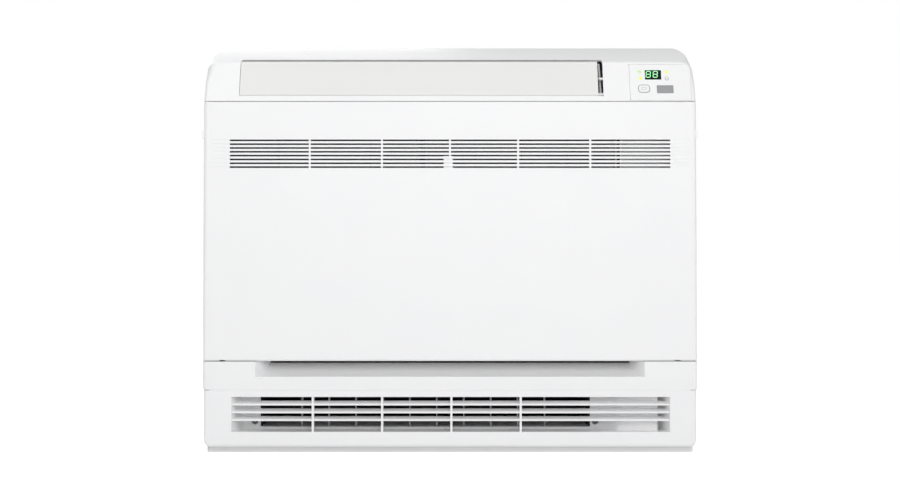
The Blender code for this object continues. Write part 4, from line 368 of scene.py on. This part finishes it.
FINISH_OF = {
    "white_shell": WHITE_ABS,
    "vane_shell": VANE_ABS_SHADED,
    "fin_plastic": FIN_ABS_SHADE_GREY,
    "foot_plastic": FOOT_PP,
    "damper_plastic": DAMPER_PA,
    "inner_white": INNER_PS,
    "filter_plastic": FILTER_PP,
    "link_plastic": LINK_PA,
    "fan_plastic": FAN_SAN,
    "motor_paint": MOTOR_PAINT,
    "terminal_plastic": TERMINAL_PF,
    "smoked_window": WINDOW_PMMA,
    "receiver_lens": RECEIVER_PC,
    "light_guide": GUIDE_PC,
    "foam": BEAD_FOAM,
    "zinc_steel": ZINC_STEEL,
    "screw_steel": SCREW_STEEL,
    "fin_aluminium": FIN_ALUMINIUM,
    "pipe_copper": PIPE_COPPER,
    "circuit_laminate": LAMINATE,
}

FINISH_OF_NODE = {node: FINISH_OF[SLOT_OF[node]] for node in NODES}
# The lower duct takes the lining whose dark walls and roof are painted shade
FINISH_OF_NODE["lower_duct"] = DUCT_SHADE_LINING
for node, obj in NODES.items():
    obj.data.materials.clear()
    obj.data.materials.append(FINISH_OF_NODE[node])


# Shapes


def new_piece(name, work, finish, smooth=True):
    """A mesh object at the origin from bmesh work that is already in place."""
    mesh = bpy.data.meshes.new(name)
    bmesh.ops.recalc_face_normals(work, faces=work.faces)
    work.to_mesh(mesh)
    work.free()
    mesh.materials.append(finish)
    for face in mesh.polygons:
        face.use_smooth = smooth
    made = bpy.data.objects.new(name, mesh)
    bpy.context.scene.collection.objects.link(made)
    return made


def attached(piece, body):
    """The piece rides on a body."""
    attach(piece, body)


def stands_for(piece, node):
    """The piece rides on the node's body and replaces it."""
    attached(piece, BODY_OF[node])
    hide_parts(node)


# Flat sides with rows of holes keep their triangles: as one face, they would close over a hole
PIERCED = {"filter_left", "filter_right", "rear_base"}
SAME_POINT = 0.002 * MM
SAME_PLANE = math.radians(0.05)
SHARP_TURN = math.radians(34)
EDGE_RADIUS = 0.4 * MM
FINE_RADIUS = 0.2 * MM


def softened(node, radius):
    """A copy of a moulded part with the small radius that every moulded edge has."""
    work = bmesh.new()
    work.from_mesh(NODES[node].data)
    bmesh.ops.remove_doubles(work, verts=work.verts, dist=SAME_POINT)
    if node not in PIERCED:
        bmesh.ops.dissolve_limit(work, angle_limit=SAME_PLANE, verts=work.verts, edges=work.edges)
    mesh = bpy.data.meshes.new(node + "_moulded")
    work.to_mesh(mesh)
    work.free()
    mesh.materials.append(FINISH_OF_NODE[node])
    for face in mesh.polygons:
        face.use_smooth = True
    made = bpy.data.objects.new(node + "_moulded", mesh)
    bpy.context.scene.collection.objects.link(made)
    edge = made.modifiers.new("edge_radius", "BEVEL")
    edge.width = radius
    edge.segments = 2
    edge.limit_method = "ANGLE"
    edge.angle_limit = SHARP_TURN
    even = made.modifiers.new("even_shading", "WEIGHTED_NORMAL")
    even.keep_sharp = True
    stands_for(made, node)


# Sheet, boards, tubes, screws, the light guide, the fan and its casing keep their CAD edges
SHARP_EDGED = {
    "display_board",
    "control_board",
    "led_light_guide",
    "evaporator_coil",
    "cover_screw_left",
    "cover_screw_right",
    "fan_casing",
    "coil_plate_left",
    "coil_plate_right",
    "turbo_fan",
    "motor_shaft",
    "fan_nut",
    "gas_pipe",
    "liquid_pipe",
}
FINE_EDGED = {"display_insert", "display_window", "receiver_window", "filter_left", "filter_right"}
for node in NODES:
    if node not in SHARP_EDGED:
        softened(node, FINE_RADIUS if node in FINE_EDGED or "fin_" in node else EDGE_RADIUS)


# What repeats: nets, coil fins and tubes


def node_group(name, inputs):
    """A Geometry Nodes tree with named inputs; returns the tree and its input sockets."""
    tree = bpy.data.node_groups.new(name, "GeometryNodeTree")
    tree.is_modifier = True
    for label, kind in inputs.items():
        tree.interface.new_socket(label, in_out="INPUT", socket_type="NodeSocket" + kind)
    tree.interface.new_socket("Geometry", in_out="OUTPUT", socket_type="NodeSocketGeometry")
    return tree, add_node(tree, "NodeGroupInput").outputs


def vector(tree, x, y, z):
    """Three numbers, each a value or an output, as one vector."""
    return add_node(tree, "ShaderNodeCombineXYZ", {0: x, 1: y, 2: z}).outputs[0]


def worked_out(tree, operation, first, second):
    """One reckoning with two numbers, each a value or an output."""
    return add_node(tree, "ShaderNodeMath", {0: first, 1: second}, operation=operation).outputs[0]


def repeated(tree, shape, start, step, count, turn=(0, 0, 0)):
    """One shape set along a straight row."""
    line = {"Count": count, "Start Location": start, "Offset": step}
    row = add_node(tree, "GeometryNodeMeshLine", line).outputs[0]
    inputs = {"Points": row, "Instance": shape, "Rotation": turn}
    return add_node(tree, "GeometryNodeInstanceOnPoints", inputs).outputs[0]


def close_group(tree, rows, finish):
    """Joins the rows, makes them real and gives them their finish."""
    joined = add_node(tree, "GeometryNodeJoinGeometry")
    for row in rows:
        tree.links.new(row, joined.inputs[0])
    solid = add_node(tree, "GeometryNodeRealizeInstances", {0: joined.outputs[0]}).outputs[0]
    dressed = add_node(tree, "GeometryNodeSetMaterial", {"Geometry": solid, "Material": finish})
    add_node(tree, "NodeGroupOutput", {0: dressed.outputs[0]})
    return tree


def made_by(tree, name, values):
    """A plain mesh from a Geometry Nodes tree; its inputs are set by socket identifier."""
    piece = bpy.data.objects.new(name, bpy.data.meshes.new(name + "_seed"))
    bpy.context.scene.collection.objects.link(piece)
    grow = piece.modifiers.new("grow", "NODES")
    grow.node_group = tree
    for item in tree.interface.items_tree:
        if item.in_out == "INPUT":
            grow[item.identifier] = values[item.name]
    graph = bpy.context.evaluated_depsgraph_get()
    mesh = bpy.data.meshes.new_from_object(piece.evaluated_get(graph))
    piece.modifiers.remove(grow)
    piece.data = mesh
    return piece


def net_group():
    """Filter net: upright and level threads at one pitch, crossing in one plane."""
    lengths = ("Width", "Height", "Pitch", "Thread")
    inputs = {"Corner": "Vector", **dict.fromkeys(lengths, "Float"), "Finish": "Material"}
    tree, given = node_group("filter_net", inputs)
    width, height, pitch, thread = (given[key] for key in lengths)
    rows = []
    for across, along, axis in ((width, height, 0), (height, width, 2)):
        count = worked_out(tree, "DIVIDE", across, pitch)
        half = worked_out(tree, "MULTIPLY", along, 0.5)
        near = worked_out(tree, "MULTIPLY", pitch, 0.5)
        if axis == 0:
            size = vector(tree, thread, thread, along)
            first = vector(tree, near, 0.0, half)
            step = vector(tree, pitch, 0.0, 0.0)
        else:
            size = vector(tree, along, thread, thread)
            first = vector(tree, half, 0.0, near)
            step = vector(tree, 0.0, 0.0, pitch)
        places = {0: given["Corner"], 1: first}
        start = add_node(tree, "ShaderNodeVectorMath", places, operation="ADD").outputs[0]
        bar = add_node(tree, "GeometryNodeMeshCube", {"Size": size}).outputs[0]
        rows.append(repeated(tree, bar, start, step, count))
    return close_group(tree, rows, given["Finish"])


def fin_group():
    """Coil fins: upright sheets in a close row."""
    inputs = {"First": "Vector", "Sheet": "Vector", "Pitch": "Float", "Count": "Int"}
    tree, given = node_group("coil_fins", {**inputs, "Finish": "Material"})
    sheet = add_node(tree, "GeometryNodeMeshCube", {"Size": given["Sheet"]})
    step = vector(tree, given["Pitch"], 0.0, 0.0)
    row = repeated(tree, sheet.outputs[0], given["First"], step, given["Count"])
    return close_group(tree, [row], given["Finish"])


def tube_group():
    """Coil tubes: level rods through the fins, one above another."""
    inputs = {"First": "Vector", **dict.fromkeys(("Radius", "Length", "Pitch"), "Float")}
    tree, given = node_group("coil_tubes", {**inputs, "Count": "Int", "Finish": "Material"})
    sizes = {"Vertices": 14, "Radius": given["Radius"], "Depth": given["Length"]}
    rod = add_node(tree, "GeometryNodeMeshCylinder", sizes).outputs[0]
    step = vector(tree, 0.0, 0.0, given["Pitch"])
    sideways = (0, math.radians(90), 0)
    row = repeated(tree, rod, given["First"], step, given["Count"], sideways)
    return close_group(tree, [row], given["Finish"])


FILTER_FRAME = 7 * MM
NET = net_group()
for side in ("left", "right"):
    low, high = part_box("filter_" + side)
    values = {
        "Corner": (low.x + FILTER_FRAME, (low.y + high.y) / 2, low.z + FILTER_FRAME),
        "Width": high.x - low.x - 2 * FILTER_FRAME,
        "Height": high.z - low.z - 2 * FILTER_FRAME,
        # Real threads are 0.25 mm at a 0.8 mm pitch; drawn coarser, so that they show, but as dense
        "Pitch": 1.6 * MM,
        "Thread": 0.55 * MM,
        "Finish": FILTER_PP,
    }
    net = made_by(NET, "net_" + side, values)
    attached(net, BODY_OF["filter_" + side])

low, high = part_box("evaporator_coil")
FIN_PITCH = 2.8 * MM
FIN_THICKNESS = 0.35 * MM
fin_count = int((high.x - low.x) / FIN_PITCH)
values = {
    "First": (low.x + FIN_THICKNESS, (low.y + high.y) / 2, (low.z + high.z) / 2),
    "Sheet": (FIN_THICKNESS, high.y - low.y, high.z - low.z),
    "Pitch": (high.x - low.x - 2 * FIN_THICKNESS) / (fin_count - 1),
    "Count": fin_count,
    "Finish": FIN_ALUMINIUM,
}
stands_for(made_by(fin_group(), "coil_fins", values), "evaporator_coil")
TUBE_ROWS = 6
TUBE_RADIUS = 4.6 * MM
tube_pitch = (high.z - low.z) / TUBE_ROWS
values = {
    "First": ((low.x + high.x) / 2, (low.y + high.y) / 2, low.z + tube_pitch / 2),
    "Radius": TUBE_RADIUS,
    "Length": high.x - low.x,
    "Pitch": tube_pitch,
    "Count": TUBE_ROWS,
    "Finish": PIPE_COPPER,
}
attached(made_by(tube_group(), "coil_tubes", values), "cabinet")


# Trim: black seals that paint shade, and the tongue in the cover's seam


def strip(name, outline, left, right, finish):
    """A straight strip across the cabinet with an outline of (depth, height) points."""
    work = bmesh.new()
    ends = [[work.verts.new((x, FRONT + depth, z)) for depth, z in outline] for x in (left, right)]
    work.faces.new(ends[0])
    work.faces.new(ends[1])
    for k in range(len(outline)):
        j = (k + 1) % len(outline)
        work.faces.new((ends[0][k], ends[0][j], ends[1][j], ends[1][k]))
    attached(new_piece(name, work, finish, smooth=False), "cabinet")


def square_outline(low_depth, high_depth, low, high):
    """The outline of a strip that lies square to the cabinet."""
    return [(low_depth, low), (high_depth, low), (high_depth, high), (low_depth, high)]


# The gap behind the panel's grip gets painted shade: a black foam seal closes it along the recess's
# sloping wall
strip(
    "recess_shade_seal",
    [
        (29.3 * MM, 125.6 * MM),
        (31.7 * MM, 129.2 * MM),
        (31.2 * MM, 129.6 * MM),
        (28.7 * MM, 126.1 * MM),
    ],
    -RECESS_HALF,
    RECESS_HALF,
    BLACK_FOAM_PAINTED_SHADE,
)
# A tongue in the seam keeps light out and makes it a soft grey line
strip(
    "seam_tongue",
    square_outline(1.0 * MM, 3.0 * MM, SEAM_LOW, SEAM_HIGH),
    -SEAM_HALF,
    SEAM_HALF,
    WHITE_ABS,
)
# The rails carry black seals, a painted shade that makes the grille's slots look dark in front of
# them too
for name, left, right in (
    ("centre_shade_seal", -43.9 * MM, -34.1 * MM),
    ("rail_shade_seal", 238.5 * MM, 243.4 * MM),
):
    depths = RAIL_DEPTH - 0.8 * MM, RAIL_DEPTH - 0.05 * MM
    outline = square_outline(*depths, RAIL_LOW, RAIL_HIGH)
    strip(name, outline, left, right, BLACK_FOAM_PAINTED_SHADE)


# Display: digits, lights and printed marks, all on the leaning face


# Flat marks start a little inside the plate and stand out by a film's thickness
MARK_BASE = -0.1 * MM
MARK_RISE = 0.06 * MM


def face_loop(work, points, height):
    """New vertices at points (x, distance up the face), at one height above the leaning face."""
    return [work.verts.new(FACE @ Vector((x, -height, up))) for x, up in points]


def around(centre, radius, sides):
    """Points of a circle on the leaning face."""
    angles = [2 * math.pi * k / sides for k in range(sides)]
    return [(centre[0] + radius * math.cos(a), centre[1] + radius * math.sin(a)) for a in angles]


def join_loops(work, lower, upper):
    """Faces between two loops of as many vertices."""
    for k in range(len(lower)):
        j = (k + 1) % len(lower)
        work.faces.new((lower[k], lower[j], upper[j], upper[k]))


def face_outline(work, points, low, high):
    """A flat shape on the leaning face, from one height above it to another, in metres."""
    lower, upper = face_loop(work, points, low), face_loop(work, points, high)
    work.faces.new(upper)
    work.faces.new(reversed(lower))
    join_loops(work, lower, upper)


# The seven bars of a figure eight, each by its two ends, in shares of its width and height
SEGMENTS = (
    ((0.0, 1.0), (1.0, 1.0)),
    ((1.0, 1.0), (1.0, 0.5)),
    ((1.0, 0.5), (1.0, 0.0)),
    ((1.0, 0.0), (0.0, 0.0)),
    ((0.0, 0.0), (0.0, 0.5)),
    ((0.0, 0.5), (0.0, 1.0)),
    ((0.0, 0.5), (1.0, 0.5)),
)
DIGIT_SLANT = math.tan(math.radians(5))
DIGIT_LOW = 37.0 * MM
DIGIT_WIDE = 8.2 * MM
DIGIT_TALL = 10.8 * MM
STROKE = 1.3 * MM
BAR_GAP = 0.12 * MM


def digit(work, left):
    """A figure eight of seven bars with pointed ends, slanted as on a lamp display."""
    inner_wide = DIGIT_WIDE - STROKE - DIGIT_TALL * DIGIT_SLANT
    inner_tall = DIGIT_TALL - STROKE
    for start, end in SEGMENTS:
        ends = [
            Vector((STROKE / 2 + share[0] * inner_wide, STROKE / 2 + share[1] * inner_tall))
            for share in (start, end)
        ]
        along = (ends[1] - ends[0]).normalized()
        side = Vector((-along.y, along.x)) * STROKE / 2
        point = along * STROKE / 2
        a, b = ends[0] + along * BAR_GAP, ends[1] - along * BAR_GAP
        shape = [a, a + point + side, b - point + side, b, b - point - side, a + point - side]
        points = [(left + p.x + p.y * DIGIT_SLANT, DIGIT_LOW + p.y) for p in shape]
        face_outline(work, points, MARK_BASE, MARK_RISE)


digits = bmesh.new()
for left in (279.3 * MM, 289.3 * MM):
    digit(digits, left)
attached(new_piece("display_digits", digits, DIGIT_LIGHT, smooth=False), "cabinet")


def rounded_loop(box, radius, corner_points):
    """Points round a rounded rectangle (left, right, low, high) on the leaning face."""
    left, right, low, high = box
    centres = ((right - radius, high - radius), (left + radius, high - radius))
    centres += ((left + radius, low + radius), (right - radius, low + radius))
    points = []
    for quarter, (x, up) in enumerate(centres):
        for k in range(corner_points + 1):
            turn = math.radians(90 * (quarter + k / corner_points))
            points.append((x + radius * math.cos(turn), up + radius * math.sin(turn)))
    return points


def band(name, outer, inner, low, high, finish, body="cabinet"):
    """A flat frame between two loops of as many points, lying on the leaning face."""
    work = bmesh.new()
    corners = ((outer, low), (outer, high), (inner, high), (inner, low))
    loops = [face_loop(work, points, height) for points, height in corners]
    for lower, upper in zip(loops, loops[1:] + loops[:1]):
        join_loops(work, lower, upper)
    attached(new_piece(name, work, finish, smooth=False), body)


def grown(box, by):
    """A box (left, right, low, high) made larger on every side."""
    return box[0] - by, box[1] + by, box[2] - by, box[3] + by


WINDOW = (278.6 * MM, 301.7 * MM, 34.0 * MM, 49.0 * MM)
BUTTON = (268.9 * MM, 283.9 * MM, 14.0 * MM, 24.8 * MM)
BUTTON_MARK = (272.7 * MM, 279.9 * MM, 17.6 * MM, 21.2 * MM)
BUTTON_RISE = 0.5 * MM

# Each light's place across and up the face, in millimetres
LIGHTS = {
    "light_upper_left": (270.7, 46.7, GREEN_LIGHT),
    "light_lower_left": (271.4, 36.2, YELLOW_LIGHT),
    "light_upper_right": (309.3, 46.1, YELLOW_LIGHT),
}
LENS_RADIUS = 2.3 * MM
LENS_RISE = 0.5 * MM
LENS_DEPTH = 1.2 * MM
LENS_STEPS = 4
LENS_SIDES = 24
RING_SIDES = 32


def lens(name, x, up, finish, rise=LENS_RISE):
    """A shallow dome that closes a light's hole in the plate."""
    work = bmesh.new()
    profile = [(LENS_RADIUS, -LENS_DEPTH)]
    for k in range(LENS_STEPS):
        turn = math.pi / 2 * k / LENS_STEPS
        profile.append((LENS_RADIUS * math.cos(turn), rise * math.sin(turn)))
    rings = [
        face_loop(work, around((x, up), radius, LENS_SIDES), height) for radius, height in profile
    ]
    for lower, upper in zip(rings, rings[1:]):
        join_loops(work, lower, upper)
    work.faces.new(rings[0])
    work.faces.new(rings[-1])
    attached(new_piece(name, work, finish), "cabinet")


for name, (x, up, finish) in LIGHTS.items():
    lens(name, x * MM, up * MM, finish)

# Where the photograph shows no lens, a white plug fills the hole under the timer's ring
TIMER_X = 309.7 * MM
lens("timer_plug", TIMER_X, 36.1 * MM, WHITE_ABS, 0.02 * MM)
TIMER_CENTRE = (TIMER_X, 35.6 * MM)
band(
    "timer_ring",
    around(TIMER_CENTRE, 2.75 * MM, RING_SIDES),
    around(TIMER_CENTRE, 2.1 * MM, RING_SIDES),
    MARK_BASE,
    2 * MARK_RISE,
    GREY_INK,
)
tick = bmesh.new()
TICK = ((309.2, 36.9), (310.4, 36.9), (310.6, 39.2), (309.1, 39.2))
face_outline(tick, [(x * MM, up * MM) for x, up in TICK], MARK_BASE, 0.16 * MM)
attached(new_piece("timer_tick", tick, GREEN_LIGHT, smooth=False), "cabinet")
band(
    "window_halo",
    rounded_loop(grown(WINDOW, 0.9 * MM), 1.6 * MM, 4),
    rounded_loop(grown(WINDOW, 0.15 * MM), 0.9 * MM, 4),
    MARK_BASE,
    MARK_RISE,
    HALO_PMMA,
)
band(
    "button_outline",
    rounded_loop(grown(BUTTON, 1.0 * MM), 4.6 * MM, 3),
    rounded_loop(grown(BUTTON, 0.3 * MM), 3.9 * MM, 3),
    MARK_BASE,
    MARK_RISE,
    GREY_INK,
)
band(
    "button_mark",
    rounded_loop(BUTTON_MARK, 0.8 * MM, 2),
    rounded_loop(grown(BUTTON_MARK, -0.6 * MM), 0.4 * MM, 2),
    BUTTON_RISE,
    BUTTON_RISE + 0.16 * MM,
    PALE_INK,
    "button",
)


# Camera, lamps and floor


def shown_to(tree, rays, otherwise, shown):
    """One shader for two kinds of ray and another for the rest."""
    path = add_node(tree, "ShaderNodeLightPath").outputs
    inputs = {0: path[rays[0]], 1: path[rays[1]]}
    seen = add_node(tree, "ShaderNodeMath", inputs, operation="MAXIMUM").outputs[0]
    inputs = {0: seen, 1: otherwise.outputs[0], 2: shown.outputs[0]}
    return add_node(tree, "ShaderNodeMixShader", inputs).outputs[0]


def stage_finish():
    """A matt floor that glows white for the camera and reflections, and keeps its shadow."""
    made = bpy.data.materials.new("matt_white_floor")
    made.use_nodes = True
    tree = made.node_tree
    tree.nodes.clear()
    paint = add_node(tree, "ShaderNodeBsdfDiffuse", {"Color": linear("#EDEDED")})
    glow = add_node(tree, "ShaderNodeEmission", {"Color": linear("#FFFFFF"), "Strength": 0.8})
    both = add_node(tree, "ShaderNodeAddShader", {0: paint.outputs[0], 1: glow.outputs[0]})
    surface = shown_to(tree, ("Is Camera Ray", "Is Glossy Ray"), paint, both)
    add_node(tree, "ShaderNodeOutputMaterial", {0: surface})
    return made


FLOOR_HALF = 30
floor = bmesh.new()
signs = ((-1, -1), (1, -1), (1, 1), (-1, 1))
corners = [floor.verts.new((x * FLOOR_HALF, y * FLOOR_HALF, 0)) for x, y in signs]
floor.faces.new(corners)
new_piece("studio_floor", floor, stage_finish(), smooth=False)

world = bpy.data.worlds.new("pale_studio")
bpy.context.scene.world = world
world.use_nodes = True
sky = world.node_tree
sky.nodes.clear()
ambient = add_node(sky, "ShaderNodeBackground", {"Color": linear("#F8F9FA"), "Strength": 0.4})
backdrop = add_node(sky, "ShaderNodeBackground", {"Color": linear("#FFFFFF"), "Strength": 1.0})
surface = shown_to(sky, ("Is Camera Ray", "Is Transmission Ray"), ambient, backdrop)
add_node(sky, "ShaderNodeOutputWorld", {0: surface})


def soft_box(name, place, target, size, power):
    """A square area lamp turned towards a point."""
    lamp = bpy.data.lights.new(name, "AREA")
    lamp.shape = "SQUARE"
    lamp.size = size
    lamp.energy = power
    made = bpy.data.objects.new(name, lamp)
    made.location = place
    made.rotation_euler = (Vector(target) - Vector(place)).to_track_quat("-Z", "Y").to_euler()
    bpy.context.scene.collection.objects.link(made)


# Place, target, side in metres and power in watts
soft_box("key_upper_left", (-1.1, -0.8, 1.5), (0, 0, 0.4), 0.8, 4.5)
soft_box("soft_front", (0.2, -2.4, 1.25), (0, 0, 0.25), 1.6, 25)
soft_box("fill_right", (2.4, -1.4, 0.9), (0, 0, 0.3), 1.6, 10)
soft_box("top", (0, 0.2, 2.6), (0, 0, 0.4), 1.6, 11)
soft_box("fill_rear", (-0.8, 2.6, 1.1), (0, 0, 0.3), 1.6, 24)

camera = bpy.data.cameras.new("photo_camera")
camera.lens = 59.5
camera.sensor_width = 36
view = bpy.data.objects.new("photo_camera", camera)
view.location = (0, -2.205, 0.287)
view.rotation_euler = (math.radians(90), 0, 0)
bpy.context.scene.collection.objects.link(view)
bpy.context.scene.camera = view
bpy.context.scene.view_settings.view_transform = "Standard"
